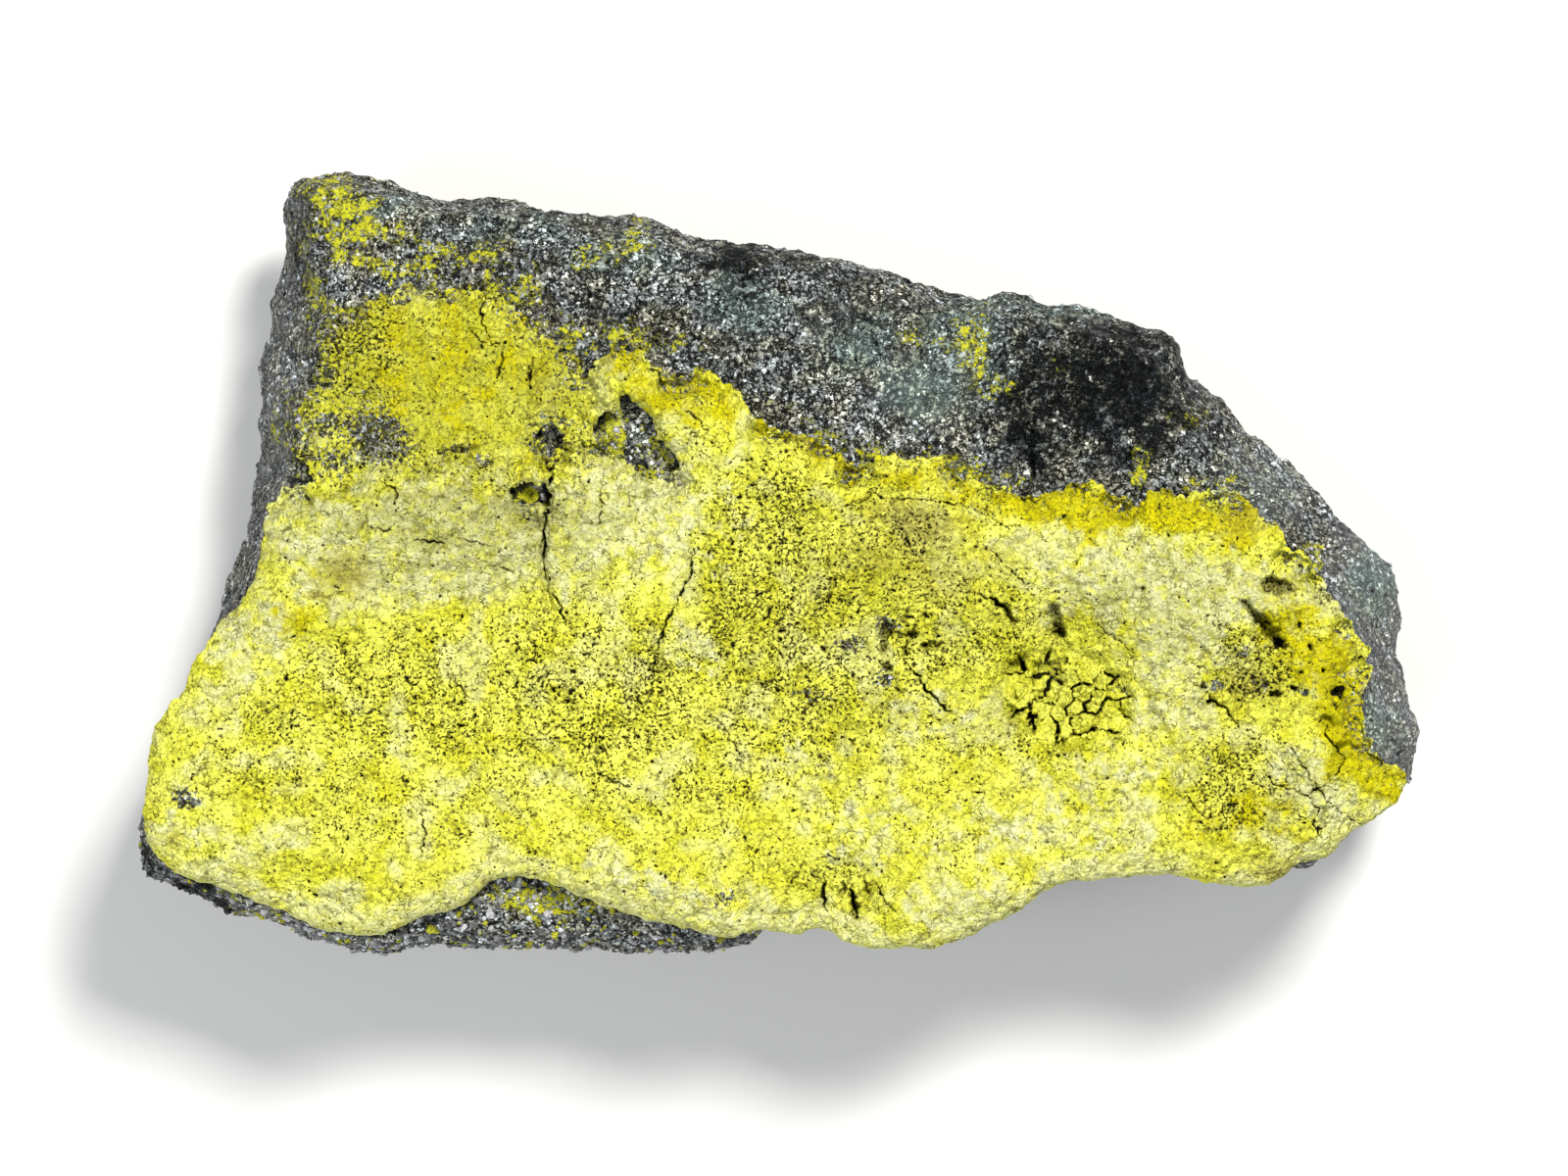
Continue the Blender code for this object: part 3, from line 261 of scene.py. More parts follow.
# Lighter rock, and painted light on the strip below the crust's lower edge and on the floor of the large
# opening, which lie in shade.
ROCK_LIGHTER_AND_LIT = (
    (430, 222, 46, 20, 0, 0.6), (660, 310, 60, 26, 0, 0.7), (860, 430, 90, 34, 10, 0.7),
    (820, 380, 80, 50, 0, 0.5), (640, 290, 40, 18, 0, 0.4), (1300, 480, 40, 60, -40, 0.7),
    (1400, 620, 34, 80, -10, 0.5), (1420, 740, 26, 60, 0, 0.5), (280, 360, 22, 190, 4, 0.35),
    (360, 290, 26, 30, 0, 0.8), (980, 400, 60, 50, 0, 0.5), (1240, 510, 60, 30, 30, 0.5),
    (735, 230, 50, 8, 10, 0.8), (250, 570, 16, 60, 20, 0.6), (940, 300, 60, 8, 8, 0.7),
    (560, 935, 220, 44, 0, 1.6), (300, 935, 170, 40, 25, 1.4), (655, 450, 40, 44, 0, 1.5),
)
ROCK_TEAL = (
    (940, 400, 44, 34, 0, 0.8), (760, 310, 40, 24, 0, 0.6), (872, 350, 44, 30, 0, 0.7),
    (400, 212, 40, 16, 0, 0.6), (1080, 306, 60, 16, 0, 0.7), (1400, 600, 26, 40, 0, 0.7),
    (1402, 742, 24, 40, 0, 0.7), (640, 260, 60, 20, 0, 0.4), (990, 350, 50, 40, 0, 0.6),
    (520, 235, 60, 20, 0, 0.35), (1290, 500, 40, 30, 0, 0.3),
)
ROCK_STAIN = (
    (345, 200, 44, 26, 0, 0.76), (366, 245, 60, 30, 10, 0.70), (400, 275, 100, 24, 0, 0.61),
    (470, 260, 60, 18, 0, 0.62), (520, 300, 40, 26, 0, 0.6), (325, 290, 16, 50, 0, 0.7),
    (600, 262, 30, 10, -10, 0.55), (645, 252, 24, 10, -20, 0.7), (657, 226, 12, 8, 0, 0.55),
    (992, 352, 24, 30, 0, 0.70), (1010, 385, 34, 16, 20, 0.58), (940, 350, 40, 14, 0, 0.45),
    (1165, 480, 12, 22, 0, 0.68), (650, 345, 70, 18, 0, 0.55), (550, 330, 22, 20, 0, 0.6),
    (575, 350, 16, 16, 0, 0.6), (960, 475, 110, 14, 12, 0.65), (1235, 492, 36, 10, 10, 0.6),
    (1342, 575, 10, 22, -30, 0.7), (560, 922, 90, 22, 0, 0.72), (265, 925, 60, 12, 25, 0.55),
    (840, 440, 70, 12, 30, 0.5), (300, 440, 20, 60, 0, 0.5), (585, 395, 26, 40, 0, 0.7),
    (1080, 380, 16, 16, 0, 0.3), (1215, 425, 26, 16, 0, 0.4), (565, 455, 18, 18, 0, 0.45),
    (450, 440, 150, 60, 0, 0.6), (1300, 598, 16, 8, 0, 0.3), (370, 345, 60, 60, 0, 0.7),
)
ROCK_CRACKS = (
    (0.16, 0.9, ((1056, 440), (1052, 460), (1055, 482), (1050, 498))),
    (0.12, 0.6, ((1150, 445), (1153, 462), (1150, 480))), (0.12, 0.6, ((1205, 495), (1202, 508))),
    (0.12, 0.7, ((760, 240), (757, 262), (763, 282))), (0.10, 0.5, ((935, 335), (940, 352), (938, 368))),
    (0.10, 0.5, ((660, 345), (675, 352), (690, 350))), (0.10, 0.5, ((1020, 400), (1040, 412), (1052, 440))),
)


# ---------------------------------------------------------------- numbers and noise


def mix(a, b, share):
    return a + (b - a) * share


def smoothstep(low, high, value):
    share = np.clip((value - low) / (high - low), 0.0, 1.0)
    return share * share * (3.0 - 2.0 * share)


def hashed(cells, seed):
    """Pseudo-random 32-bit numbers for whole-numbered cells, the same on every run."""
    mixed = np.full(cells.shape[:-1], (seed * 0x9E3779B1) & 0xFFFFFFFF, dtype=np.uint32)
    for axis, prime in zip(range(cells.shape[-1]), (0x85EBCA6B, 0xC2B2AE35, 0x27D4EB2F)):
        mixed ^= cells[..., axis].astype(np.int64).astype(np.uint32) * np.uint32(prime)
        mixed ^= mixed >> np.uint32(15)
        mixed *= np.uint32(0x2C1B3C6D)
        mixed ^= mixed >> np.uint32(12)
    mixed *= np.uint32(0x297A2D39)
    mixed ^= mixed >> np.uint32(15)
    return mixed


def shares(bits, place):
    """Numbers from 0 to 1 out of one of the three 10-bit parts of a hash."""
    return ((bits >> np.uint32(10 * place + 1)) & np.uint32(1023)) / 1023.0


def noise(points, size, seed):
    """Smooth noise between about -1 and 1, with lumps of one size, in two or three dimensions."""
    scaled = points / size
    low = np.floor(scaled)
    part = scaled - low
    fade = part ** 3 * (part * (part * 6.0 - 15.0) + 10.0)
    total = np.zeros(len(points))
    for corner in itertools.product((0, 1), repeat=points.shape[1]):
        bits = hashed(low + corner, seed)
        reach = part - corner
        slope = sum((shares(bits, axis) - 0.5) * reach[:, axis] for axis in range(len(corner)))
        weight = np.prod(np.where(corner, fade, 1.0 - fade), axis=1)
        total += weight * slope
    return total * (3.6 if points.shape[1] == 2 else 3.9)


def cells(points, size, seed, jitter=0.9):
    """Scattered points' cells: the distances to the nearest two, in sizes, and the nearest's hash."""
    scaled = points / size
    low = np.floor(scaled)
    first = np.full(len(points), 9.0)
    second = np.full(len(points), 9.0)
    owner = np.zeros(len(points), dtype=np.uint32)
    for corner in itertools.product((-1, 0, 1), repeat=points.shape[1]):
        cell = low + corner
        bits = hashed(cell, seed)
        apart = np.zeros(len(points))
        for axis in range(len(corner)):
            middle = cell[:, axis] + 0.5 + jitter * (shares(bits, axis) - 0.5)
            apart += (scaled[:, axis] - middle) ** 2
        nearer = apart < first
        second = np.where(nearer, first, np.minimum(second, apart))
        first = np.where(nearer, apart, first)
        owner = np.where(nearer, bits, owner)
    return np.sqrt(first), np.sqrt(second), owner


def shifts(points, size, seeds, reach):
    """Smooth crooked shifts of points, with one noise for each axis."""
    return np.stack([noise(points, size, seed) for seed in seeds], axis=1) * reach


# ---------------------------------------------------------------- places in the picture


def as_seen(verts):
    """Pixels at which the camera sees points."""
    reach = (CAMERA_Z - FACE_Z) / (CAMERA_Z - verts[:, 2]) / PIXEL
    across = (verts[:, 0] - CAMERA_X) * reach
    up = (verts[:, 1] - CAMERA_Y) * reach
    return np.stack((across, -up), axis=1) + PICTURE_MIDDLE


def drifted(seen):
    """Pixels moved about a little, so that a patch drawn on them has a natural edge."""
    wide = shifts(seen, 75.0, (31, 32), 14.0)
    return seen + wide + shifts(seen, 22.0, (41, 42), 12.0) + shifts(seen, 8.0, (51, 52), 5.0)


def patches(seen, table, softness=0.3):
    """Strongest of the patches of a table at each pixel."""
    strongest = np.zeros(len(seen))
    for x, y, long, wide, turn, strength in table:
        angle = math.radians(turn)
        span = (1.0 + softness) * max(long, wide)
        near = np.flatnonzero((np.abs(seen[:, 0] - x) < span) & (np.abs(seen[:, 1] - y) < span))
        dx = seen[near, 0] - x
        dy = seen[near, 1] - y
        u = (dx * math.cos(angle) + dy * math.sin(angle)) / long
        v = (dy * math.cos(angle) - dx * math.sin(angle)) / wide
        inside = smoothstep(1.0 + softness, 1.0 - softness, np.sqrt(u * u + v * v))
        strongest[near] = np.maximum(strongest[near], strength * inside)
    return strongest


def off_line(spots, line):
    """Steps to the spots from the nearest point of a line through pixels."""
    least = np.full(len(spots), 1e9)
    steps = np.zeros_like(spots)
    for start, end in zip(line, line[1:]):
        run = end - start
        along = np.clip((spots - start) @ run / (run @ run), 0.0, 1.0)
        off = spots - start - along[:, None] * run
        apart = (off * off).sum(axis=1)
        nearer = apart < least
        least[nearer] = apart[nearer]
        steps[nearer] = off[nearer]
    return steps


def openings(seen, table, shake, spare):
    """Depth of the cracks of a table at each pixel, and how far inside a crack it is, 0 to 1."""
    depth = np.zeros(len(seen))
    inside = np.zeros(len(seen))
    for half_width, deep, line in table:
        line = np.array(line, dtype=float)
        lows = line.min(axis=0) - 8.0
        highs = line.max(axis=0) + 8.0
        near = np.flatnonzero(((seen > lows) & (seen < highs)).all(axis=1))
        spots = seen[near] + shake[near]
        nearest = np.linalg.norm(off_line(spots, line), axis=1)
        ends = np.minimum(*(np.linalg.norm(spots - line[end], axis=1) for end in (0, -1)))
        width = half_width / PIXEL * (0.45 + 0.55 * smoothstep(0.0, 14.0, ends)) + spare[near]
        width = np.maximum(width, 0.35)
        share = smoothstep(1.5, 0.5, nearest / width)
        depth[near] = np.maximum(depth[near], share * deep)
        inside[near] = np.maximum(inside[near], share)
    return depth, inside


# ---------------------------------------------------------------- meshes


def read_node(name, cuts):
    """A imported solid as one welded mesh, cut along upright planes, with a flat chart of it."""
    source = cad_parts[name].data
    bm = bmesh.new()
    bm.from_mesh(source)
    bmesh.ops.remove_doubles(bm, verts=bm.verts, dist=0.002 * MM)
    for x in cuts:
        everything = bm.verts[:] + bm.edges[:] + bm.faces[:]
        bmesh.ops.bisect_plane(bm, geom=everything, dist=0.01 * MM, plane_co=(x * MM, 0, 0),
                               plane_no=(1, 0, 0))
    bmesh.ops.triangulate(bm, faces=bm.faces[:])
    bm.normal_update()
    mark_seams(bm)
    mesh = bpy.data.meshes.new("base")
    bm.to_mesh(mesh)
    bm.free()
    unroll(mesh)
    skin = skin_of(mesh)
    for x in cuts:
        skin.verts[np.abs(skin.verts[:, 0] - x) < 0.02, 0] = x
    bpy.data.meshes.remove(mesh)
    return skin


def mark_seams(bm):
    """Seams where the flat underside meets the rest, so that each unrolls in one piece."""
    under = -0.9
    for edge in bm.edges:
        downs = [face.normal.z < under for face in edge.link_faces]
        edge.seam = len(downs) == 2 and downs[0] != downs[1]


def unroll(mesh):
    holder = bpy.data.objects.new("unrolled", mesh)
    bpy.context.scene.collection.objects.link(holder)
    bpy.context.view_layer.objects.active = holder
    holder.select_set(True)
    mesh.uv_layers.new(name="chart")
    bpy.ops.object.mode_set(mode="EDIT")
    bpy.ops.mesh.select_all(action="SELECT")
    bpy.ops.uv.unwrap(method="CONFORMAL", margin=0.01)
    bpy.ops.object.mode_set(mode="OBJECT")
    bpy.data.objects.remove(holder)


def skin_of(mesh):
    verts = np.empty(len(mesh.vertices) * 3)
    mesh.vertices.foreach_get("co", verts)
    tris = np.empty(len(mesh.loops), dtype=np.int32)
    mesh.loops.foreach_get("vertex_index", tris)
    chart = np.empty(len(mesh.loops) * 2)
    mesh.uv_layers["chart"].uv.foreach_get("vector", chart)
    return SimpleNamespace(verts=verts.reshape(-1, 3) / MM, tris=tris.reshape(-1, 3).astype(np.int64),
                           chart=chart.reshape(-1, 3, 2))


def edges_of(tris, count):
    """Unique edges as pairs of vertices, and the three edges of each triangle."""
    sides = np.sort(tris[:, [0, 1, 1, 2, 2, 0]].reshape(-1, 2), axis=1)
    keys, places = np.unique(sides[:, 0] * count + sides[:, 1], return_inverse=True)
    return np.stack((keys // count, keys % count), axis=1), places.reshape(-1, 3)


def turned(triangles, turn):
    """Corner numbers of new triangles, with the old triangle's first corner moved on by turn."""
    def place(corner):
        return (corner + turn) % 3 + (3 if corner > 2 else 0)
    return [tuple(place(corner) for corner in triangle) for triangle in triangles]


# New triangles for each set of split sides. Corners are 0 to 2, and the middles of sides 3 to 5.
SPLITS = {0: [(0, 1, 2)], 7: [(0, 3, 5), (3, 1, 4), (5, 4, 2), (3, 4, 5)]}
for turn in range(3):
    SPLITS[1 << turn] = turned([(0, 3, 2), (3, 1, 2)], turn)
    SPLITS[(1 << turn) | (1 << (turn + 1) % 3)] = turned([(3, 1, 4), (0, 3, 4), (0, 4, 2)], turn)


def split_long(skin, longest):
    """Splits each side that is longer than its place allows. Returns False when none is."""
    count = len(skin.verts)
    ends, sides = edges_of(skin.tris, count)
    first = skin.verts[ends[:, 0]]
    second = skin.verts[ends[:, 1]]
    middle = (first + second) * 0.5
    length = np.linalg.norm(first - second, axis=1)
    split = length > longest(middle)
    if not split.any():
        return False
    worst = np.take_along_axis(sides, np.argmax(length[sides], axis=1)[:, None], axis=1)[:, 0]
    for _ in range(3):
        split[worst[split[sides].any(axis=1)]] = True
    new = np.full(len(ends), -1)
    new[split] = count + np.arange(split.sum())
    middles = new[sides]
    corners = np.concatenate((skin.tris, middles), axis=1)
    halfway = (skin.chart + np.roll(skin.chart, -1, axis=1)) * 0.5
    charts = np.concatenate((skin.chart, halfway), axis=1)
    kinds = (middles >= 0) @ np.array((1, 2, 4))
    tris = []
    chart = []
    for kind, triangles in SPLITS.items():
        rows = np.flatnonzero(kinds == kind)
        for triangle in triangles:
            tris.append(corners[rows][:, triangle])
            chart.append(charts[rows][:, triangle])
    skin.verts = np.concatenate((skin.verts, middle[split]))
    skin.tris = np.concatenate(tris)
    skin.chart = np.concatenate(chart)
    return True


def refine(skin, longest, passes=12):
    for _ in range(passes):
        if not split_long(skin, longest):
            break


def relax(skin, passes, cuts, share=0.5):
    """Rounds a mesh off by moving each vertex towards its neighbours' middle."""
    count = len(skin.verts)
    ends, _ = edges_of(skin.tris, count)
    ends = np.concatenate((ends, ends[:, ::-1]))
    weight = np.bincount(ends[:, 0], minlength=count)
    before = skin.verts.copy()
    for _ in range(passes):
        middle = np.stack([np.bincount(ends[:, 0], skin.verts[ends[:, 1], axis], count)
                           for axis in range(3)], axis=1) / weight[:, None]
        skin.verts = mix(skin.verts, middle, share)
    hold_cuts(skin, before, cuts)


def round_off(skin, longest, rounding, cuts):
    """Refines a mesh down to its longest edges, and rounds it off on the way."""
    quick = 1.0
    for edge, passes in rounding:
        refine(skin, lambda points: np.maximum(longest(points) * quick, edge))
        relax(skin, passes, cuts)
    refine(skin, lambda points: longest(points) * quick)


def hold_cuts(skin, before, cuts):
    """Keeps the vertices of the upright cuts on their planes, and the foot on the ground."""
    for x in cuts:
        on = before[:, 0] == x
        skin.verts[on, 0] = x
    grounded = before[:, 2] < 0.005
    skin.verts[grounded, 2] = 0.0
    skin.verts[:, 2] = np.maximum(skin.verts[:, 2], 0.0)


def normals_of(skin):
    a, b, c = (skin.verts[skin.tris[:, corner]] for corner in range(3))
    faces = np.cross(b - a, c - a)
    normals = np.zeros_like(skin.verts)
    for corner in range(3):
        for axis in range(3):
            normals[:, axis] += np.bincount(skin.tris[:, corner], faces[:, axis], len(normals))
    return normals / np.maximum(np.linalg.norm(normals, axis=1), TINY)[:, None]


# ---------------------------------------------------------------- the crust


def crust_longest(points):
    """Longest edge that the crust may have at each place: short where pits have to show."""
    seen = as_seen(points)
    pitted = np.maximum(patches(seen, PITTED), patches(seen, BLOCK_FIELD))
    upper = mix(CRUST_EDGE, PALE_EDGE, patches(seen, PALE))
    upper = mix(upper, PITTED_EDGE, pitted)
    still = np.zeros_like(seen)
    torn = np.maximum(openings(seen, CRACKS, still, np.full(len(seen), 2.5))[1], patches(seen, HOLLOWS, 0.9))
    upper = mix(upper, CRACK_EDGE, np.minimum(torn, 1.0))
    upper = mix(upper, BLOCK_EDGE, patches(seen, BLOCK_FIELD, 0.1))
    return np.where(points[:, 2] < CRUST_FOOT_Z + 0.05, UNDER_EDGE, upper)


def mottled(plan, patch, seed):
    """A patch that dissolves along its border into blotches and specks."""
    blotches = noise(plan, 2.6, seed) + 0.8 * noise(plan, 1.0, seed + 1) + 0.5 * noise(plan, 0.4, seed + 2)
    return smoothstep(0.1, 0.9, patch + 0.5 * blotches * smoothstep(0.0, 0.15, patch))


def crust_masks(verts, reach):
    """Where the crust is pale, golden, brown, grey, dim, thin or pitted."""
    plan = verts[:, :2]
    seen = as_seen(verts)
    moved = drifted(seen)
    masks = SimpleNamespace(seen=seen, inside=reach.at(verts), outward=outward_of(reach, verts))
    east, north = masks.outward.T
    # The edge is torn where it faces the bare rock and round the openings, and smooth elsewhere.
    masks.rough = north + 0.5 * np.maximum(east, 0.0) + 0.6 * np.minimum(east, 0.0)
    upper_half = smoothstep(570.0, 530.0, seen[:, 1])
    masks.rough = np.maximum(masks.rough, 0.6 * upper_half)
    lower_rim = smoothstep(3.0, 0.5, masks.inside) * smoothstep(0.1, -0.5, north) * (1.0 - upper_half)
    masks.pale = mottled(plan, patches(moved, PALE, 0.6), 141)
    drift = noise(plan, 6.0, 171) + 0.7 * noise(plan, 2.4, 172)
    drift = np.maximum(drift, drift * 0.6 + 0.7 * lower_rim)
    near = seen + 0.4 * (moved - seen)
    masks.blocks = patches(near, BLOCK_FIELD, 0.12)
    masks.dim = patches(moved, DIM, 0.6)
    masks.pitted = patches(moved, PITTED, 0.5)
    plain = mix(1.0, 0.6, masks.pitted) * (1.0 - 0.9 * smoothstep(0.5, 0.9, masks.dim))
    masks.pale = np.maximum(masks.pale, 0.8 * plain * smoothstep(0.05, 0.6, drift))
    masks.brown = patches(near, BROWN, 0.8)
    masks.pale *= (1.0 - 0.85 * masks.blocks) * (1.0 - 0.7 * masks.brown)
    masks.gold = mottled(plan, patches(moved, GOLD, 0.5), 145)
    masks.dim *= 1.0 - 0.7 * masks.gold
    upper = smoothstep(0.0, 0.7, north + 0.6 * np.minimum(east, 0.0))
    frayed = 0.8 * upper * smoothstep(2.2, 0.6, masks.inside) * smoothstep(-0.4, 0.3, noise(plan, 3.0, 175))
    masks.thin = np.maximum(patches(moved, THIN, 0.4), frayed)
    ragged = masks.thin * smoothstep(2.6, 0.3, masks.inside)
    masks.grey = np.maximum(patches(near, GREY, 0.8), 0.8 * ragged)
    masks.grey = np.maximum(masks.grey, 0.34 * masks.thin)
    masks.pitted = np.maximum(masks.pitted * (1.0 - 0.5 * masks.pale), 0.3 * (1.0 - masks.pale) + 0.1)
    return masks


def worm_pits(plan, crowd):
    """Share, 0 to 1, of the short crooked pits that riddle the powder."""
    bend = shifts(plan, 0.7, (61, 62), 0.22)
    line = np.abs(noise(plan + bend, 0.85, 63))
    gaps = noise(plan, 0.55, 64)
    herds = noise(plan, 4.2, 65) + 0.6 * noise(plan, 1.8, 66)
    level = mix(0.8, 0.08, crowd) - 0.25 * herds
    worms = smoothstep(0.17, 0.06, line) * smoothstep(level + 0.1, level + 0.3, gaps)
    near, _, owner = cells(plan, 0.52, 67)
    chosen = shares(owner, 2) < 0.16 * crowd * smoothstep(-0.8, 0.2, herds)
    width = mix(0.14, 0.32, shares(owner, 1))
    dots = smoothstep(width, 0.5 * width, near + 0.12 * gaps) * chosen
    return np.maximum(worms * smoothstep(0.0, 0.15, crowd), dots)


def block_relief(seen):
    """Height added by the broken blocks, and how far a point is inside a gap between them."""
    moved = seen + shifts(seen, 7.0, (71, 72), 1.6)
    first, second = np.full((2, len(seen)), 1e6)
    owners = np.zeros((len(seen), 2), dtype=np.int64)
    height = np.zeros(len(seen))
    for number, (x, y, size, rise) in enumerate(BLOCKS):
        off = moved - (x, y)
        power = (off * off).sum(axis=1) - size * size
        nearer = power < first
        next_nearer = ~nearer & (power < second)
        second = np.where(nearer, first, np.where(next_nearer, power, second))
        owners[:, 1] = np.where(nearer, owners[:, 0], np.where(next_nearer, number, owners[:, 1]))
        first = np.where(nearer, power, first)
        owners[:, 0] = np.where(nearer, number, owners[:, 0])
        angle = number * 2.4
        ridge = np.abs(off[:, 0] * math.cos(angle) + off[:, 1] * math.sin(angle))
        tilt = 0.05 * (off[:, 0] * math.sin(number * 1.7) + off[:, 1] * math.cos(number * 4.1))
        height = np.where(nearer, rise + tilt - 0.05 * ridge, height)
    middles = np.array([row[:2] for row in BLOCKS], dtype=float)
    apart = np.linalg.norm(middles[owners[:, 0]] - middles[owners[:, 1]], axis=1)
    border = (second - first) / (2.0 * np.maximum(apart, 1.0))
    pair = shares(hashed(np.sort(owners, axis=1), 75), 0)
    width = mix(-0.6, 2.0, pair ** 1.4) + 0.9 * noise(seen, 9.0, 74)
    return height, smoothstep(width + 0.6, width - 0.2, border)


def powder_relief(plan, smooth):
    """Height of the powder's small rounded clumps, and how far a point is between them."""
    near, next_near, _ = cells(plan + 0.15 * noise(plan, 0.5, 81)[:, None], 0.92, 82)
    bumps = 1.0 - smoothstep(0.1, 0.75, near)
    valley = smoothstep(0.20, 0.03, next_near - near)
    fine, next_fine, owner = cells(plan + 0.08 * noise(plan, 0.3, 131)[:, None], 0.47, 132)
    specks = (1.0 - smoothstep(0.1, 0.7, fine)) * mix(0.4, 1.2, shares(owner, 1))
    rough = mix(1.0, 0.28, smooth)
    height = rough * (0.17 * bumps - 0.07 * valley + 0.10 * specks)
    height += 0.10 * noise(plan, 2.6, 83) + 0.08 * rough * noise(plan, 0.6, 84)
    height += 0.04 * noise(plan, 0.33, 85)
    clumpy = smoothstep(-0.25, 0.35, noise(plan, 2.1, 92))
    between = np.maximum(valley * clumpy, 0.7 * smoothstep(0.16, 0.03, next_fine - fine) * (1.0 - clumpy))
    return height, rough * between


def fold_relief(plan, smooth):
    """Height of the rounded lobes and wrinkles of the pale crust, and how far inside one a point is."""
    swayed = plan * (1.0, 1.5) + 0.7 * noise(plan, 2.0, 86)[:, None]
    lobes, next_lobe, owner = cells(swayed, 3.0, 87)
    fold = smoothstep(0.12, 0.02, next_lobe - lobes) * smoothstep(-0.15, 0.3, noise(plan, 2.4, 88))
    height = 0.30 * (1.0 - smoothstep(0.0, 0.8, lobes)) + 0.25 * (shares(owner, 0) - 0.5) - 0.22 * fold
    streak = np.abs(noise(plan * (0.45, 1.0) + 0.3 * noise(plan, 1.0, 89)[:, None], 1.0, 90))
    wrinkle = smoothstep(0.13, 0.03, streak) * smoothstep(0.1, 0.35, noise(plan, 1.5, 91))
    height -= 0.14 * wrinkle
    return smooth * height, smooth * np.maximum(0.8 * fold, 0.6 * wrinkle)


def hollows(seen):
    """Depth of the hollows, and how much a point gets painted shade in one: at its foot or its wall."""
    depth, dark = np.zeros((2, len(seen)))
    for x, y, long, wide, turn, deep in HOLLOWS:
        share = patches(seen, ((x, y, long, wide, turn, 1.0),), 0.35)
        depth += deep * share
        wall = 2.2 * share * (1.0 - share)
        foot = smoothstep(0.6, 0.95, share) * smoothstep(1.0, 1.7, deep)
        dark = np.maximum(dark, np.maximum(wall, foot))
    return np.minimum(depth, 2.4), dark


def crust_relief(plan, masks):
    """Height added to the crust's upper side, and its creases and pits, 0 to 1, which are painted with
    shade.
    """
    smooth = masks.pale * (1.0 - 0.5 * masks.pitted) * (1.0 - masks.thin)
    upper_edge = smoothstep(1.9, 0.3, masks.inside) * smoothstep(-0.3, 0.3, masks.outward[:, 1])
    shade = 0.6 * upper_edge * smoothstep(0.0, 0.5, noise(plan, 0.9, 173) + 0.8 * noise(plan, 0.4, 174))
    height, between = powder_relief(plan, smooth)
    folds, crease = fold_relief(plan, smooth * (1.0 - masks.blocks))
    height += folds
    crease = np.maximum(crease, mix(0.5, 0.85, masks.pitted) * between)
    worms = worm_pits(plan, masks.pitted * (1.0 - masks.blocks))
    height -= 0.40 * worms
    shake = shifts(masks.seen, 7.0, (93, 94), 2.8)
    open_width = 0.9 * noise(masks.seen, 16.0, 97) - 0.35
    deep, inside = openings(masks.seen, CRACKS, shake, open_width)
    sway = shifts(masks.seen, 4.0, (95, 96), 2.4)
    hollow, dark = hollows(masks.seen + 1.1 * shake + sway)
    height -= deep + hollow
    rise, gap = block_relief(masks.seen)
    height = mix(height, 0.6 * height + rise - 0.5 - 1.3 * gap, masks.blocks)
    # Creases: painted shade in folds, wrinkles, valleys between clumps, gaps between blocks, hollows and
    # along the upper edge.
    crease = np.maximum.reduce((crease, 0.7 * masks.blocks * gap, 0.6 * smoothstep(0.2, 0.9, hollow), shade))
    speckled = 0.38 * smoothstep(0.3, 0.9, hollow)
    # Pits: painted shade in the worm pits, cracks, hollows and gaps between blocks.
    pit = np.maximum.reduce((worms, inside, 0.75 * dark, speckled, masks.blocks * gap))
    return height, crease, pit


def outward_of(reach, points, step=0.5):
    """Direction in plan that leads out from under the crust by the shortest way."""
    slopes = []
    for axis in (0, 1):
        shift = np.zeros(2)
        shift[axis] = step
        slopes.append(reach.at(points[:, :2] - shift) - reach.at(points[:, :2] + shift))
    way = np.stack(slopes, axis=1)
    return way / np.maximum(np.linalg.norm(way, axis=1), TINY)[:, None]


def thin_out(skin, masks, upward):
    """Lowers the coating where it is thin, down to a skin over the sandstone's grains."""
    plan = skin.verts[:, :2]
    near, _, owner = cells(plan, 0.46, 151)
    grains = 0.16 * (1.0 - smoothstep(0.05, 0.75, near)) * mix(0.4, 1.3, shares(owner, 2))
    edge = mix(0.75, 0.25, smoothstep(2.5, 0.2, masks.inside))
    low = CRUST_FOOT_Z + 0.2 + edge * (0.6 + 0.5 * noise(plan, 3.0, 152))
    low += grains + 0.12 * noise(plan, 1.1, 153)
    share = masks.thin * upward
    skin.verts[:, 2] = mix(skin.verts[:, 2], np.minimum(low, skin.verts[:, 2]), share)


def narrow_hook(skin):
    """Draws the crust in round the crooked hole, down to a slim hook."""
    seen = as_seen(skin.verts)
    line = np.array(HOOK, dtype=float)
    near = np.flatnonzero(np.abs(seen - line.mean(axis=0)).max(axis=1) < 40.0)
    steps = off_line(seen[near], line)
    apart = np.linalg.norm(steps, axis=1)
    pull = 0.5 * smoothstep(24.0, 4.0, apart)
    skin.verts[near, :2] -= steps * pull[:, None] * (PIXEL, -PIXEL)


def level_blocks(skin, masks, upward):
    """Replaces the few large blocks by an even bed, on which the small ones are modelled."""
    x, y = (skin.verts[:, axis] - skin.verts[:, axis].mean() for axis in (0, 1))
    terms = np.stack((np.ones(len(x)), x, y, x * x, x * y, y * y), axis=1)
    share = masks.blocks * (skin.verts[:, 2] > FACE_Z + 0.7)
    rim = (share * upward > 0.02) & (share < 0.6)
    bed = terms @ np.linalg.lstsq(terms[rim], skin.verts[rim, 2], rcond=None)[0]
    skin.verts[:, 2] = mix(skin.verts[:, 2], bed - 0.35, share)


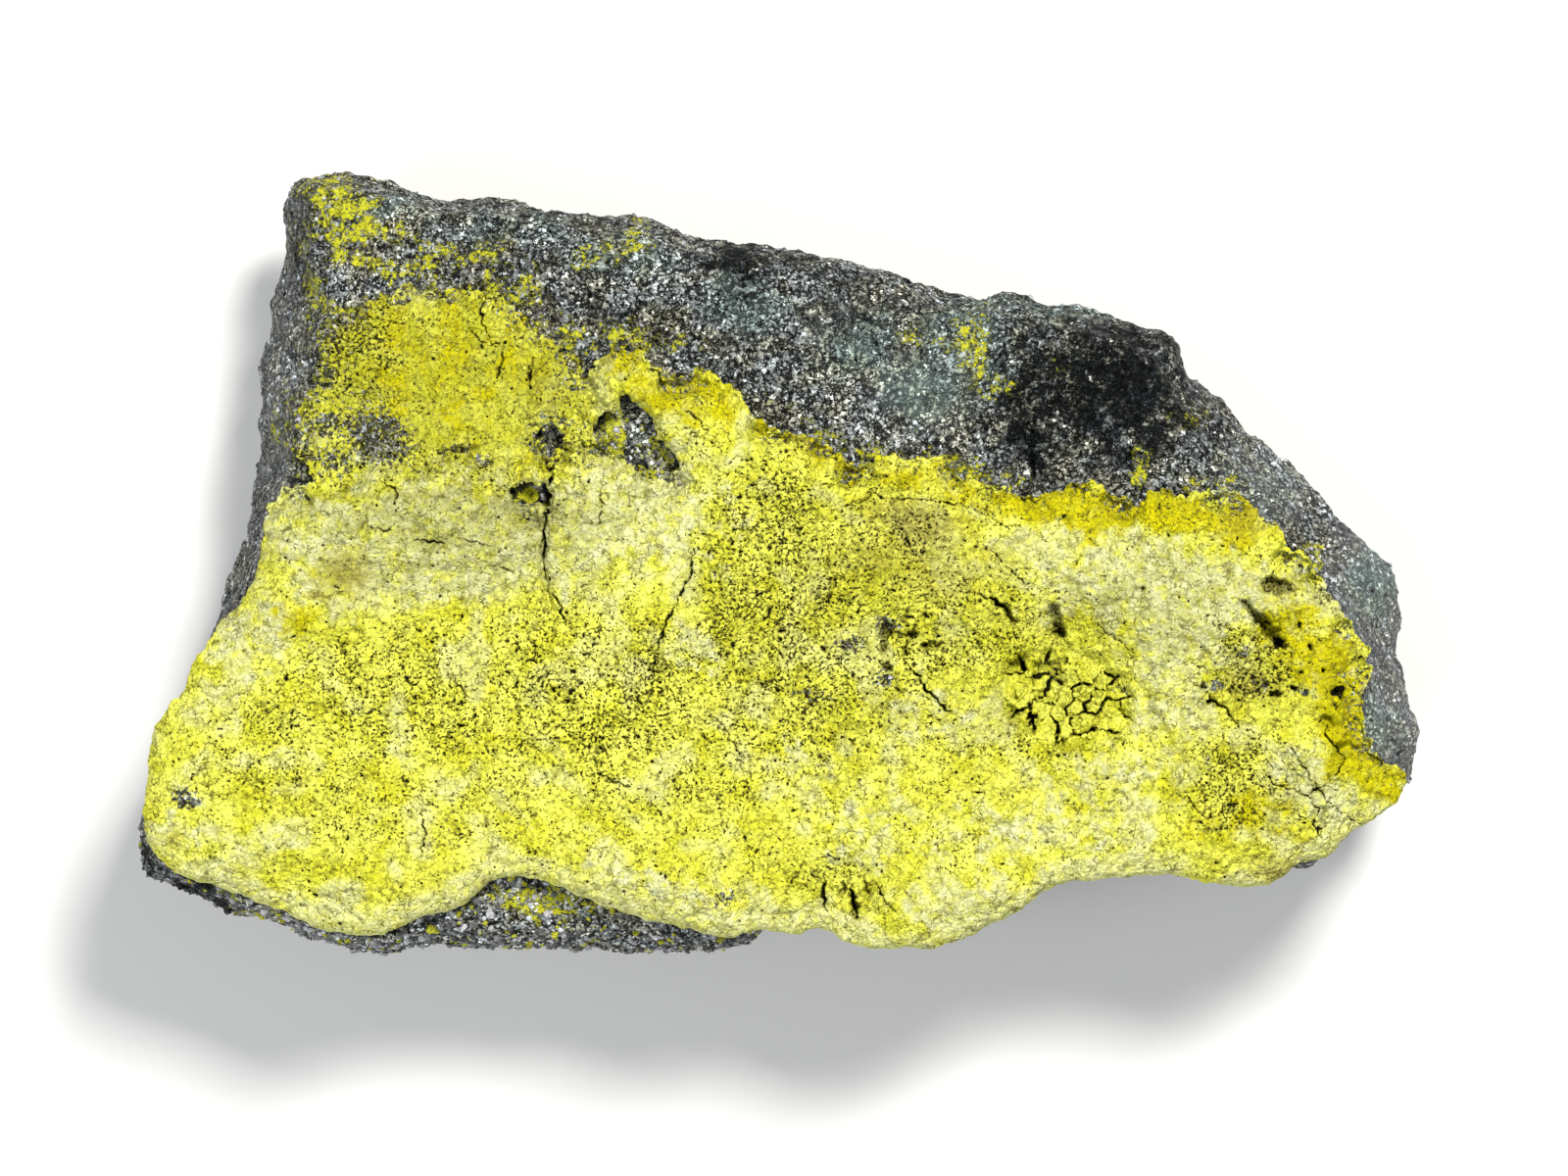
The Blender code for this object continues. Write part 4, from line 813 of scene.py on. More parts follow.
def shape_crust(skin, reach, cuts):
    """Models the fine relief of the crust and returns its colour masks."""
    narrow_hook(skin)
    base = skin.verts.copy()
    normals = normals_of(skin)
    plan = base[:, :2]
    masks = crust_masks(base, reach)
    upward = smoothstep(0.25, 0.7, normals[:, 2])
    under = smoothstep(-0.5, -0.85, normals[:, 2])
    thin_out(skin, masks, upward)
    level_blocks(skin, masks, upward)
    height, crease, pit = crust_relief(plan, masks)
    lift = upward * height * mix(1.0, 0.35, masks.thin)
    floor = CRUST_FOOT_Z + LEAST_COATING - skin.verts[:, 2]
    lift = np.where(upward > 0.5, np.maximum(lift, floor), lift)
    skin.verts[:, 2] += lift
    rough = smoothstep(-0.1, 0.6, masks.rough)
    crumbly = 0.20 * noise(base, 1.5, 101) + 0.15 * noise(base, 0.75, 102) + 0.08 * noise(base, 0.35, 103)
    crumbly *= mix(0.5, 1.0, rough)
    skin.verts += normals * (crumbly * (1.0 - upward) * (1.0 - under))[:, None]
    torn = 0.42 * noise(plan, 2.6, 161) + 0.38 * noise(plan, 1.2, 162) + 0.28 * noise(plan, 0.6, 163)
    torn *= smoothstep(2.6, 0.4, masks.inside) * mix(0.2, 1.25, rough)
    skin.verts[:, :2] += masks.outward * torn[:, None]
    hold_cuts(skin, base, cuts)
    masks.crease = crease * upward
    masks.pit = pit * upward
    masks.bright = 0.5 + 0.45 * noise(plan, 3.8, 104) + 0.4 * noise(plan, 1.3, 105)
    return masks


# ---------------------------------------------------------------- the rock


def edge_segments(skin):
    """The foot of the crust in plan: the sides between its underside and its lip."""
    a, b, c = (skin.verts[skin.tris[:, corner]] for corner in range(3))
    down = np.cross(b - a, c - a)
    down = down[:, 2] < -0.9 * np.linalg.norm(down, axis=1)
    ends, sides = edges_of(skin.tris, len(skin.verts))
    lower = np.bincount(sides[down].ravel(), minlength=len(ends)) == 1
    return skin.verts[ends[lower]][:, :, :2]


class Reach:
    """Distance in plan to the crust's foot, positive under the crust, read off a square grid."""

    STEP = 0.3
    MARGIN = 6.0

    def __init__(self, segments):
        self.low = segments.min(axis=(0, 1)) - self.MARGIN
        high = segments.max(axis=(0, 1)) + self.MARGIN
        self.counts = np.ceil((high - self.low) / self.STEP).astype(int) + 1
        grid = np.stack(np.meshgrid(*(self.low[axis] + self.STEP * np.arange(self.counts[axis])
                                      for axis in (0, 1)), indexing="ij"), axis=-1).reshape(-1, 2)
        nearest = np.full(len(grid), 1e9)
        within = np.zeros(len(grid), dtype=bool)
        for start, end in segments:
            run = end - start
            along = np.clip((grid - start) @ run / max(run @ run, TINY), 0.0, 1.0)
            off = grid - start - along[:, None] * run
            nearest = np.minimum(nearest, (off * off).sum(axis=1))
            spans = (start[1] > grid[:, 1]) != (end[1] > grid[:, 1])
            if run[1]:
                within ^= spans & (grid[:, 0] < start[0] + run[0] * (grid[:, 1] - start[1]) / run[1])
        self.values = (np.sqrt(nearest) * np.where(within, 1.0, -1.0)).reshape(self.counts)

    def at(self, points):
        place = (points[:, :2] - self.low) / self.STEP
        place = np.clip(place, 0.0, self.counts - 1.001)
        low = place.astype(int)
        share = place - low
        total = np.zeros(len(points))
        for corner in itertools.product((0, 1), repeat=2):
            weight = np.prod(np.where(corner, share, 1.0 - share), axis=1)
            total += weight * self.values[low[:, 0] + corner[0], low[:, 1] + corner[1]]
        return total


def rock_longest(reach):
    """Longest edges for the rock: short on its bare face, long where nothing shows."""
    def longest(points):
        under = reach.at(points)
        face = smoothstep(19.0, 23.0, points[:, 2])
        edge = mix(ROCK_SIDE_EDGE, ROCK_FACE_EDGE, face)
        edge = np.where((under > 1.2) & (points[:, 2] > COVERED_Z), COVERED_EDGE, edge)
        return np.where(points[:, 2] < 0.3, ROCK_BASE_EDGE, edge)
    return longest


def shape_rock(skin, reach, cuts):
    """Models the grains and broken forms of the sandstone and returns its colour masks."""
    base = skin.verts.copy()
    normals = normals_of(skin)
    under = reach.at(base)
    covered = smoothstep(0.2, 1.0, under) * (base[:, 2] > COVERED_Z)
    side = smoothstep(23.5, 19.0, base[:, 2])
    drift = shifts(base, 0.7, (117, 118, 119), 0.22)
    near, _, owner = cells(base + drift, 0.46, 111)
    coarse = patches(as_seen(base), COARSE)
    grains = mix(0.11, 0.24, coarse) * (1.0 - smoothstep(0.05, 0.75, near)) * mix(0.4, 1.4, shares(owner, 2))
    missing = (shares(owner, 1) < 0.10) * smoothstep(0.6, 0.3, near) * 0.22
    clumps = mix(0.16, 0.30, side) * noise(base, 1.5, 112) + mix(0.20, 0.5, side) * noise(base, 4.0, 113)
    clumps += 0.10 * noise(base, 0.8, 114)
    lift = grains - missing + clumps - 0.06
    seen = as_seen(base)
    shake = shifts(seen, 7.0, (93, 94), 2.2)
    deep, inside = openings(seen, ROCK_CRACKS, shake, np.zeros(len(seen)))
    top = smoothstep(0.3, 0.7, normals[:, 2])
    lift = (lift - top * deep) * (1.0 - covered)
    down = smoothstep(-0.4, -0.8, normals[:, 2])
    lift *= 1.0 - down * smoothstep(2.0, 0.5, base[:, 2])
    skin.verts += normals * lift[:, None]
    hold_cuts(skin, base, cuts)
    return rock_masks(base, seen, under, outward_of(reach, base), top, inside, missing)


def rock_masks(base, seen, under, outward, top, inside, missing):
    moved = drifted(seen)
    masks = SimpleNamespace()
    near = seen + 0.3 * (moved - seen)
    high = smoothstep(8.0, 17.0, base[:, 2])
    # The mask dark holds darker patches of rock and painted shade: in the cracks, in the holes of missing
    # grains, under the crust's lower edge and in its openings.
    masks.dark = np.maximum(patches(moved, ROCK_DARK, 0.8) * high, 0.8 * inside * top)
    # Painted shadow on the rock just below the crust's lower edge, where the lip shades it.
    lip = smoothstep(-0.9, -0.2, under) * smoothstep(0.1, -0.5, outward[:, 1])
    lip *= 0.45 * (base[:, 2] > 20.0)
    # Painted shadow in the crust's openings.
    floor = patches(near, FLOOR_SHADOW, 0.4)
    masks.dark = np.maximum.reduce((masks.dark, lip, floor, 3.0 * missing))
    # Lighter rock, with painted light where the rock lies in shade.
    masks.light = 0.6 * patches(moved, ROCK_LIGHTER_AND_LIT, 0.5)
    masks.soft = patches(moved, ROCK_SOFT, 0.5)
    masks.teal = patches(moved, ROCK_TEAL, 0.6)
    fringe = smoothstep(-2.0, 0.0, under) * smoothstep(-0.35, 0.5, noise(seen, 30.0, 121))
    fringe *= smoothstep(-0.4, 0.3, outward[:, 1])
    masks.stain = np.maximum(patches(moved, ROCK_STAIN, 0.7) * high, 0.75 * fringe * top)
    masks.stain = np.maximum(masks.stain - patches(near, ROCK_BARE, 0.5), 0.0)
    masks.stain = np.maximum(masks.stain, patches(near, FLOOR_STAIN, 0.4))
    masks.bright = 0.5 + 0.4 * noise(base, 6.0, 122) + 0.3 * noise(base, 2.2, 123)
    return masks


# ---------------------------------------------------------------- pieces


def cap_of(skin, x):
    """Triangles that close a cut along an upright plane, facing +X."""
    ends = open_ends(skin)
    on = (skin.verts[ends[:, 0], 0] == x) & (skin.verts[ends[:, 1], 0] == x)
    ends = ends[on]
    used, places = np.unique(ends, return_inverse=True)
    flat = [Vector((y, z)) for y, z in skin.verts[used][:, 1:]]
    lines = [tuple(pair) for pair in places.reshape(-1, 2).tolist()]
    _, _, faces, origins, _, _ = delaunay_2d_cdt(flat, lines, [], 1, 1e-7)
    tris = []
    for face in faces:
        corners = [origins[corner] for corner in face]
        if all(corners):
            tris.append([used[corner[0]] for corner in corners])
    return np.array(tris, dtype=np.int64).reshape(-1, 3)


def open_ends(skin):
    ends, sides = edges_of(skin.tris, len(skin.verts))
    lone = np.bincount(sides.ravel(), minlength=len(ends)) == 1
    return ends[lone]


def parts_between(skin, cuts):
    """Rows of triangles between each two neighbouring cuts."""
    middle = skin.verts[skin.tris][:, :, 0].mean(axis=1)
    limits = (-1e9,) + tuple(cuts) + (1e9,)
    return [np.flatnonzero((middle > low) & (middle <= high)) for low, high in zip(limits, limits[1:])]


def new_piece(name, verts, tris, colours, chart, material):
    """An object of triangles in millimetres, with colour masks and a map for its texture."""
    mesh = bpy.data.meshes.new(name)
    mesh.vertices.add(len(verts))
    mesh.vertices.foreach_set("co", (verts * MM).ravel())
    mesh.loops.add(tris.size)
    mesh.loops.foreach_set("vertex_index", tris.ravel().astype(np.int32))
    mesh.polygons.add(len(tris))
    mesh.polygons.foreach_set("loop_start", np.arange(0, tris.size, 3, dtype=np.int32))
    mesh.update()
    mesh.uv_layers.new(name="OFBake").uv.foreach_set("vector", chart.ravel())
    for label, colour in colours.items():
        layer = mesh.color_attributes.new(label, "FLOAT_COLOR", "POINT")
        layer.data.foreach_set("color", np.clip(colour, 0.0, 1.0).ravel())
    mesh.materials.append(material)
    piece = bpy.data.objects.new(name, mesh)
    bpy.context.scene.collection.objects.link(piece)
    return piece


def spread(chart, low, high):
    """A map stretched over an upright band of the texture's square."""
    least = chart.min(axis=(0, 1))
    share = (chart - least) / np.maximum(chart.max(axis=(0, 1)) - least, TINY)
    return share * (high - low, 0.99) + (low, 0.005)


def make_piece(name, skin, rows, cuts, colours, normals, material):
    """One closed piece of a fine mesh, with its colour masks as vertex colours."""
    part = SimpleNamespace(verts=skin.verts, tris=skin.tris[rows])
    tris = [part.tris]
    charts = [spread(skin.chart[rows], 0.005, 0.955)]
    middle = part.verts[part.tris][:, :, 0].mean()
    for x in cuts:
        cap = cap_of(part, x)
        if len(cap):
            cap = cap if middle < x else cap[:, ::-1]
            tris.append(cap)
            charts.append(spread(part.verts[cap][:, :, 1:], 0.965, 0.995))
    wanted = np.concatenate(tris)
    used, places = np.unique(wanted, return_inverse=True)
    colours = {label: colour[used] for label, colour in colours.items()}
    chart = np.concatenate(charts)
    piece = new_piece(name, skin.verts[used], places.reshape(-1, 3), colours, chart, material)
    piece.data.polygons.foreach_set("use_smooth", np.ones(len(wanted), dtype=bool))
    piece.data.normals_split_custom_set_from_vertices(normals[used])
    return piece


def twenty_faces():
    """Corners, at a distance of 1, and triangles of a regular solid with twenty faces."""
    golden = (1.0 + math.sqrt(5.0)) / 2.0
    corners = np.array([np.roll((0.0, a, b), turn) for turn in range(3)
                        for a in (-1.0, 1.0) for b in (-golden, golden)])
    tris = []
    for trio in itertools.combinations(range(len(corners)), 3):
        a, b, c = corners[list(trio)]
        if max(np.linalg.norm(a - b), np.linalg.norm(b - c), np.linalg.norm(c - a)) < 2.1:
            outward = np.cross(b - a, c - a) @ a > 0.0
            tris.append(trio if outward else trio[::-1])
    tilt = np.array(Euler((0.35, 0.22, 0.0)).to_matrix())
    return corners @ tilt.T / np.linalg.norm(corners[0]), np.array(tris)


def atlas(solid, tris, count):
    """A place in the square of a texture for each triangle corner of many equal solids."""
    columns = math.ceil(math.sqrt(count))
    upper = np.cross(solid[tris[:, 1]] - solid[tris[:, 0]], solid[tris[:, 2]] - solid[tris[:, 0]])[:, 2] > 0
    spots = 0.25 + 0.22 * solid[tris][:, :, :2] * (1.0, 2.0) + (0.0, 0.25)
    spots[upper, :, 0] += 0.5
    number = np.arange(count)
    cell = np.stack((number % columns, number // columns), axis=1)
    return ((cell[:, None, None] + spots) / columns).reshape(-1, 3, 2)


def scatter(name, skin, density, sizes, seed, masks_of, material):
    """One piece of many small solids, each half sunk in a skin. Density is per square millimetre."""
    low, high = sizes
    corners = skin.verts[skin.tris]
    areas = np.linalg.norm(np.cross(corners[:, 1] - corners[:, 0], corners[:, 2] - corners[:, 0]), axis=1)
    own = np.bincount(skin.tris.ravel(), np.repeat(areas / 6.0, 3), len(skin.verts))
    draw = np.random.default_rng(seed)
    hosts = np.flatnonzero(draw.random(len(own)) < 1.0 - np.exp(-density * own))
    count = len(hosts)
    radius = mix(low, high[hosts], draw.random(count) ** 1.6)
    solid, tris = twenty_faces()
    turns = np.linalg.qr(draw.normal(size=(count, 3, 3)))[0]
    turns *= np.sign(np.linalg.det(turns))[:, None, None]
    shapes = solid * draw.uniform(0.7, 1.25, (count, 1, 3)) * draw.uniform(0.8, 1.15, (count, 12, 1))
    middles = skin.verts[hosts] - normals_of(skin)[hosts] * (0.3 * radius)[:, None]
    verts = (shapes @ turns * radius[:, None, None] + middles[:, None]).reshape(-1, 3)
    rows = (tris + 12 * np.arange(count)[:, None, None]).reshape(-1, 3)
    colours = masks_of(np.repeat(hosts, 12), *np.repeat(draw.random((2, count)), 12, axis=1))
    piece = new_piece(name, verts, rows, colours, atlas(solid, tris, count), material)
    piece.data.polygons.foreach_set("use_smooth", np.zeros(len(rows), dtype=bool))
    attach(piece, "root")


def make_pieces(names, skin, cuts, colours, material, node):
    normals = normals_of(skin)
    for name, rows in zip(names, parts_between(skin, cuts)):
        piece = make_piece(name, skin, rows, cuts, colours, normals, material)
        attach(piece, "root")
        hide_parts(node)


# ---------------------------------------------------------------- materials


class Recipe:
    """One material, built with short calls. Sizes are in millimetres."""

    def __init__(self, name):
        self.material = bpy.data.materials.new(name)
        self.material.use_nodes = True
        self.tree = self.material.node_tree
        self.shader = self.tree.nodes["Principled BSDF"]
        coordinates = self.tree.nodes.new("ShaderNodeTexCoord").outputs["Object"]
        self.place = self.node("ShaderNodeVectorMath", {0: coordinates, "Scale": 1.0 / MM},
                               operation="SCALE").outputs[0]

    def node(self, kind, inputs, **settings):
        node = self.tree.nodes.new(kind)
        for key, value in settings.items():
            setattr(node, key, value)
        for key, value in inputs.items():
            self.put(node.inputs[key], value)
        return node

    def put(self, socket, value):
        if isinstance(value, bpy.types.NodeSocket):
            self.tree.links.new(value, socket)
        else:
            socket.default_value = value

    def math(self, operation, a, b=0.0):
        return self.node("ShaderNodeMath", {0: a, 1: b}, operation=operation).outputs[0]

    def times(self, a, b):
        return self.math("MULTIPLY", a, b)

    def plus(self, a, b):
        return self.math("ADD", a, b)

    def blend(self, share, a, b, kind="MIX"):
        a, b = (value if isinstance(value, bpy.types.NodeSocket) else (*value, 1.0) for value in (a, b))
        node = self.node("ShaderNodeMix", {0: share, 6: a, 7: b}, data_type="RGBA", blend_type=kind)
        return node.outputs[2]

    def step(self, value, low, high, start=0.0, end=1.0):
        return self.node("ShaderNodeMapRange", {0: value, 1: low, 2: high, 3: start, 4: end},
                         interpolation_type="SMOOTHSTEP").outputs[0]

    def noise(self, size, detail=2.0, roughness=0.5):
        inputs = {"Vector": self.place, "Scale": 1.0 / size, "Detail": detail, "Roughness": roughness}
        return self.node("ShaderNodeTexNoise", inputs).outputs[0]

    def grains(self, size, place):
        """Two random numbers of the grain at each point, and the distance to the grain's middle."""
        node = self.node("ShaderNodeTexVoronoi", {"Vector": place, "Scale": 1.0 / size})
        parts = self.node("ShaderNodeSeparateColor", {0: node.outputs["Color"]})
        return parts.outputs[0], parts.outputs[1], node.outputs["Distance"]

    def warped(self, size, amount):
        """Places moved about by a noise, so that cells drawn on them get crooked borders."""
        inputs = {"Vector": self.place, "Scale": 1.0 / size, "Detail": 1.0}
        drift = self.node("ShaderNodeTexNoise", inputs).outputs["Color"]
        drift = self.node("ShaderNodeVectorMath", {0: drift, 1: (0.5, 0.5, 0.5)},
                          operation="SUBTRACT").outputs[0]
        moved = {0: drift, 1: (amount, amount, amount), 2: self.place}
        return self.node("ShaderNodeVectorMath", moved, operation="MULTIPLY_ADD").outputs[0]

    def borders(self, place, size):
        """Distance to the nearest border between cells, as a share of their size."""
        node = self.node("ShaderNodeTexVoronoi", {"Vector": place, "Scale": 1.0 / size},
                         feature="DISTANCE_TO_EDGE")
        return node.outputs["Distance"]

    def broken(self, line, size, low, high):
        """A line mask that is kept only in places."""
        return self.times(line, self.step(self.noise(size, 2.0, 0.5), low, high))

    def masks(self, name):
        """The four channels of a vertex colour."""
        node = self.node("ShaderNodeAttribute", {}, attribute_name=name)
        parts = self.node("ShaderNodeSeparateColor", {0: node.outputs["Color"]})
        return (*parts.outputs[:3], node.outputs["Alpha"])

    def bump(self, height, distance, strength):
        inputs = {"Height": height, "Distance": distance * MM, "Strength": strength}
        return self.node("ShaderNodeBump", inputs).outputs[0]


def grain_colour(recipe):
    """Quartz grains with dark gaps, painted shade between them: their colour, their height and a random
    number of each.
    """
    place = recipe.warped(0.45, 0.4)
    pick, other, apart = recipe.grains(0.33, place)
    fine, _, fine_apart = recipe.grains(0.17, place)
    colour = recipe.node("ShaderNodeValToRGB", {0: pick})
    stops = ((0.0, (0.04, 0.04, 0.037)), (0.2, (0.10, 0.101, 0.094)), (0.5, (0.17, 0.171, 0.159)),
             (0.8, (0.24, 0.242, 0.23)), (0.93, (0.36, 0.365, 0.36)), (1.0, (0.72, 0.72, 0.73)))
    ramp = colour.color_ramp
    while len(ramp.elements) < len(stops):
        ramp.elements.new(0.5)
    for element, (position, shade) in zip(ramp.elements, stops):
        element.position = position
        element.color = (*shade, 1.0)
    edges = recipe.borders(recipe.warped(0.45, 0.6), 0.55)
    veins = recipe.broken(recipe.step(edges, 0.04, 0.15, 1.0, 0.0), 0.9, 0.40, 0.50)
    chinks = recipe.step(recipe.noise(0.44, 3.0, 0.65), 0.54, 0.575)
    veins = recipe.math("MAXIMUM", veins, chinks)
    # Gaps, veins and specks are painted shade in the low places between grains; the other factors are random
    # tone.
    gaps = recipe.step(apart, 0.42, 0.8, 1.0, 0.5)
    shade = recipe.times(gaps, recipe.step(fine, 0.0, 1.0, 0.65, 1.6))
    shade = recipe.times(shade, recipe.step(veins, 0.0, 1.0, 1.22, 0.04))
    shade = recipe.times(shade, recipe.step(recipe.noise(1.3, 4.0, 0.7), 0.32, 0.68, 0.6, 1.4))
    tint = recipe.blend(recipe.step(recipe.noise(3.2, 2.0), 0.4, 0.6), (1.02, 1.0, 0.84), (0.93, 1.0, 1.03))
    grey = recipe.blend(1.0, colour.outputs[0], tint, "MULTIPLY")
    grey = recipe.blend(1.0, grey, shade, "MULTIPLY")
    height = recipe.math("SUBTRACT", recipe.step(apart, 0.1, 0.8, 1.0, 0.0),
                         recipe.times(fine_apart, 0.25))
    height = recipe.math("SUBTRACT", height, veins)
    return grey, height, other


def powder_lines(recipe, pitted, smooth):
    """Lines round the powder's clumps and granules and its short dark pits, all painted as shade, and its
    fine height.
    """
    clump_edge = recipe.borders(recipe.warped(0.7, 1.2), 1.25)
    clumps = recipe.broken(recipe.step(clump_edge, 0.015, 0.06, 1.0, 0.0), 1.2, 0.46, 0.54)
    crooked = recipe.warped(0.45, 0.42)
    edge = recipe.borders(crooked, 0.50)
    granules = recipe.broken(recipe.step(edge, 0.03, 0.13, 1.0, 0.0), 0.9, 0.42, 0.52)
    lines = recipe.math("MAXIMUM", recipe.times(clumps, 0.95),
                        recipe.times(granules, recipe.step(smooth, 0.0, 1.0, 0.5, 0.45)))
    herd = recipe.step(recipe.noise(3.0, 2.0), 0.35, 0.65, 0.035, -0.035)
    level = recipe.plus(recipe.step(pitted, 0.0, 1.0, 0.69, 0.53), herd)
    over = recipe.math("SUBTRACT", recipe.noise(0.30, 2.0, 0.6), level)
    pits = recipe.times(recipe.step(over, 0.0, 0.02), recipe.step(edge, 0.10, 0.18, 1.0, 0.0))
    height = recipe.times(recipe.step(edge, 0.0, 0.4), 0.11)
    height = recipe.plus(height, recipe.times(recipe.step(clump_edge, 0.0, 0.3), 0.10))
    height = recipe.math("SUBTRACT", height, recipe.times(pits, 0.22))
    height = recipe.plus(height, recipe.times(recipe.noise(0.2, 3.0, 0.7), 0.13))
    return lines, pits, height


def powder_colour(recipe, pale, gold, bright):
    """Lemon powder, paler or more golden in places, flecked with olive."""
    mottle = recipe.noise(1.1, 3.0, 0.6)
    fleck = recipe.noise(0.30, 3.0, 0.7)
    lemon = recipe.blend(recipe.step(bright, 0.0, 1.0), (0.68, 0.67, 0.035), (0.98, 0.975, 0.14))
    cream = recipe.blend(recipe.step(mottle, 0.3, 0.7), (0.62, 0.625, 0.20), (0.82, 0.83, 0.45))
    specks = recipe.step(recipe.noise(0.75, 2.0, 0.5), 0.56, 0.68, 1.0, 0.35)
    colour = recipe.blend(recipe.times(pale, specks), lemon, cream)
    colour = recipe.blend(gold, colour, (0.60, 0.545, 0.004))
    olive = recipe.blend(pale, (0.26, 0.255, 0.008), (0.27, 0.27, 0.04))
    flecked = recipe.blend(recipe.step(fleck, 0.50, 0.68, 0.0, 0.58), colour, olive)
    blots = recipe.noise(0.8, 2.0, 0.5)
    return recipe.blend(recipe.step(blots, 0.48, 0.75, 0.0, 0.3), flecked, olive)


def crust_material():
    recipe = Recipe("yellow_crust_powder")
    pale, gold, brown, grey = recipe.masks("zones")
    pit, crease, dim, bright = recipe.masks("relief")
    pitted, _, blocks, _ = recipe.masks("surface")
    lines, fine_pits, height = powder_lines(recipe, pitted, pale)
    calm = recipe.math("SUBTRACT", 1.0, recipe.times(blocks, 0.8))
    fine_pits = recipe.times(fine_pits, calm)
    colour = powder_colour(recipe, pale, gold, bright)
    stained = recipe.times(brown, recipe.step(recipe.noise(0.5, 3.0, 0.6), 0.35, 0.6, 0.35, 0.95))
    colour = recipe.blend(stained, colour, (0.27, 0.20, 0.06))
    colour = recipe.blend(dim, colour, (0.62, 0.62, 0.50), "MULTIPLY")
    rock, _, _ = grain_colour(recipe)
    speckle = recipe.noise(0.42, 3.0, 0.65)
    level = recipe.plus(grey, recipe.times(speckle, 3.4))
    showing = recipe.step(level, 2.20, 2.50)
    colour = recipe.blend(showing, colour, rock)
    # Painted shade, dark olive, in the lines round clumps and in the creases.
    painted_crease_shade = (0.085, 0.08, 0.009)
    lines = recipe.times(lines, calm)
    colour = recipe.blend(recipe.times(lines, 0.8), colour, painted_crease_shade)
    colour = recipe.blend(recipe.times(crease, 0.8), colour, painted_crease_shade)
    # Painted shade, near black, in the pits, cracks, hollows and gaps between blocks.
    ragged = recipe.plus(pit, recipe.step(speckle, 0.3, 0.7, 0.40, -0.40))
    ragged = recipe.times(recipe.step(ragged, 0.46, 0.58), recipe.step(pit, 0.0, 0.2))
    hole = recipe.math("MAXIMUM", ragged, recipe.times(fine_pits, 0.95))
    colour = recipe.blend(hole, colour, (0.016, 0.015, 0.004))
    recipe.put(recipe.shader.inputs["Base Color"], colour)
    recipe.shader.inputs["Roughness"].default_value = 0.95
    recipe.shader.inputs["Specular IOR Level"].default_value = 0.06
    recipe.put(recipe.shader.inputs["Normal"], recipe.bump(height, 1.0, 0.85))
    return recipe.material


def rock_material():
    recipe = Recipe("grey_quartz_sandstone")
    dark, light, teal, stain = recipe.masks("zones")
    lone, soft, _, bright = recipe.masks("relief")
    rock, height, other = grain_colour(recipe)
    colour = recipe.blend(1.0, rock, recipe.step(bright, 0.0, 1.0, 0.7, 1.3), "MULTIPLY")
    quartz = recipe.blend(recipe.math("POWER", bright, 1.6), (0.08, 0.08, 0.075), (0.80, 0.80, 0.82))
    colour = recipe.blend(recipe.times(lone, 0.8), colour, quartz)
    colour = recipe.blend(recipe.times(soft, 0.55), colour, (0.175, 0.18, 0.185))
    # Lighter rock, and painted light on rock that lies in shade.
    colour = recipe.blend(light, colour, (1.75, 1.75, 1.78), "MULTIPLY")
    colour = recipe.blend(teal, colour, (0.96, 1.16, 1.10), "MULTIPLY")
    cloud = recipe.step(recipe.noise(2.0, 3.0, 0.6), 0.38, 0.62, 0.0, 0.28)
    colour = recipe.blend(recipe.times(teal, cloud), colour, (0.15, 0.215, 0.20))
    # Darker patches of rock together with painted shade in cracks, grain holes, openings and under the
    # crust's edge.
    blotch = recipe.step(recipe.noise(1.7, 5.0, 0.75), 0.34, 0.64, 0.8, -0.5)
    dark_patches_and_shade = recipe.step(recipe.plus(dark, recipe.times(blotch, dark)), 0.10, 0.95)
    colour = recipe.blend(dark_patches_and_shade, colour, (0.025, 0.036, 0.045), "MULTIPLY")
    fleck = recipe.noise(0.36, 3.0, 0.7)
    patch = recipe.noise(1.1, 3.0, 0.6)
    clumps = recipe.plus(recipe.times(fleck, 1.9), recipe.times(patch, 1.5))
    level = recipe.math("SUBTRACT", recipe.plus(stain, clumps), 0.56)
    film = recipe.step(level, 1.55, 1.85, 0.0, 0.4)
    colour = recipe.blend(film, colour, (0.27, 0.275, 0.03))
    powder = recipe.step(level, 1.80, 1.85)
    yellow = recipe.blend(recipe.step(level, 1.81, 1.95), (0.20, 0.20, 0.008), (0.56, 0.555, 0.022))
    specks = recipe.step(recipe.noise(0.3, 3.0, 0.7), 0.5, 0.66, 0.0, 0.8)
    yellow = recipe.blend(specks, yellow, (0.08, 0.08, 0.006))
    colour = recipe.blend(recipe.times(powder, 0.95), colour, yellow)
    recipe.put(recipe.shader.inputs["Base Color"], colour)
    recipe.put(recipe.shader.inputs["Roughness"], recipe.step(other, 0.0, 1.0, 0.35, 0.95))
    recipe.shader.inputs["Specular IOR Level"].default_value = 0.12
    recipe.put(recipe.shader.inputs["Normal"], recipe.bump(height, 0.10, 0.9))
    return recipe.material


def channels(*masks):
    return np.stack(masks, axis=1)


# ---------------------------------------------------------------- light, floor and camera


def make_floor():
    mesh = bpy.data.meshes.new("floor")
    half = 1.5
    corners = [(-half, -half, 0), (half, -half, 0), (half, half, 0), (-half, half, 0)]
    mesh.from_pydata(corners, [], [(0, 1, 2, 3)])
    recipe = Recipe("pale_floor")
    recipe.shader.inputs["Base Color"].default_value = (0.78, 0.77, 0.75, 1.0)
    recipe.shader.inputs["Roughness"].default_value = 0.8
    mesh.materials.append(recipe.material)
    floor = bpy.data.objects.new("floor", mesh)
    bpy.context.scene.collection.objects.link(floor)


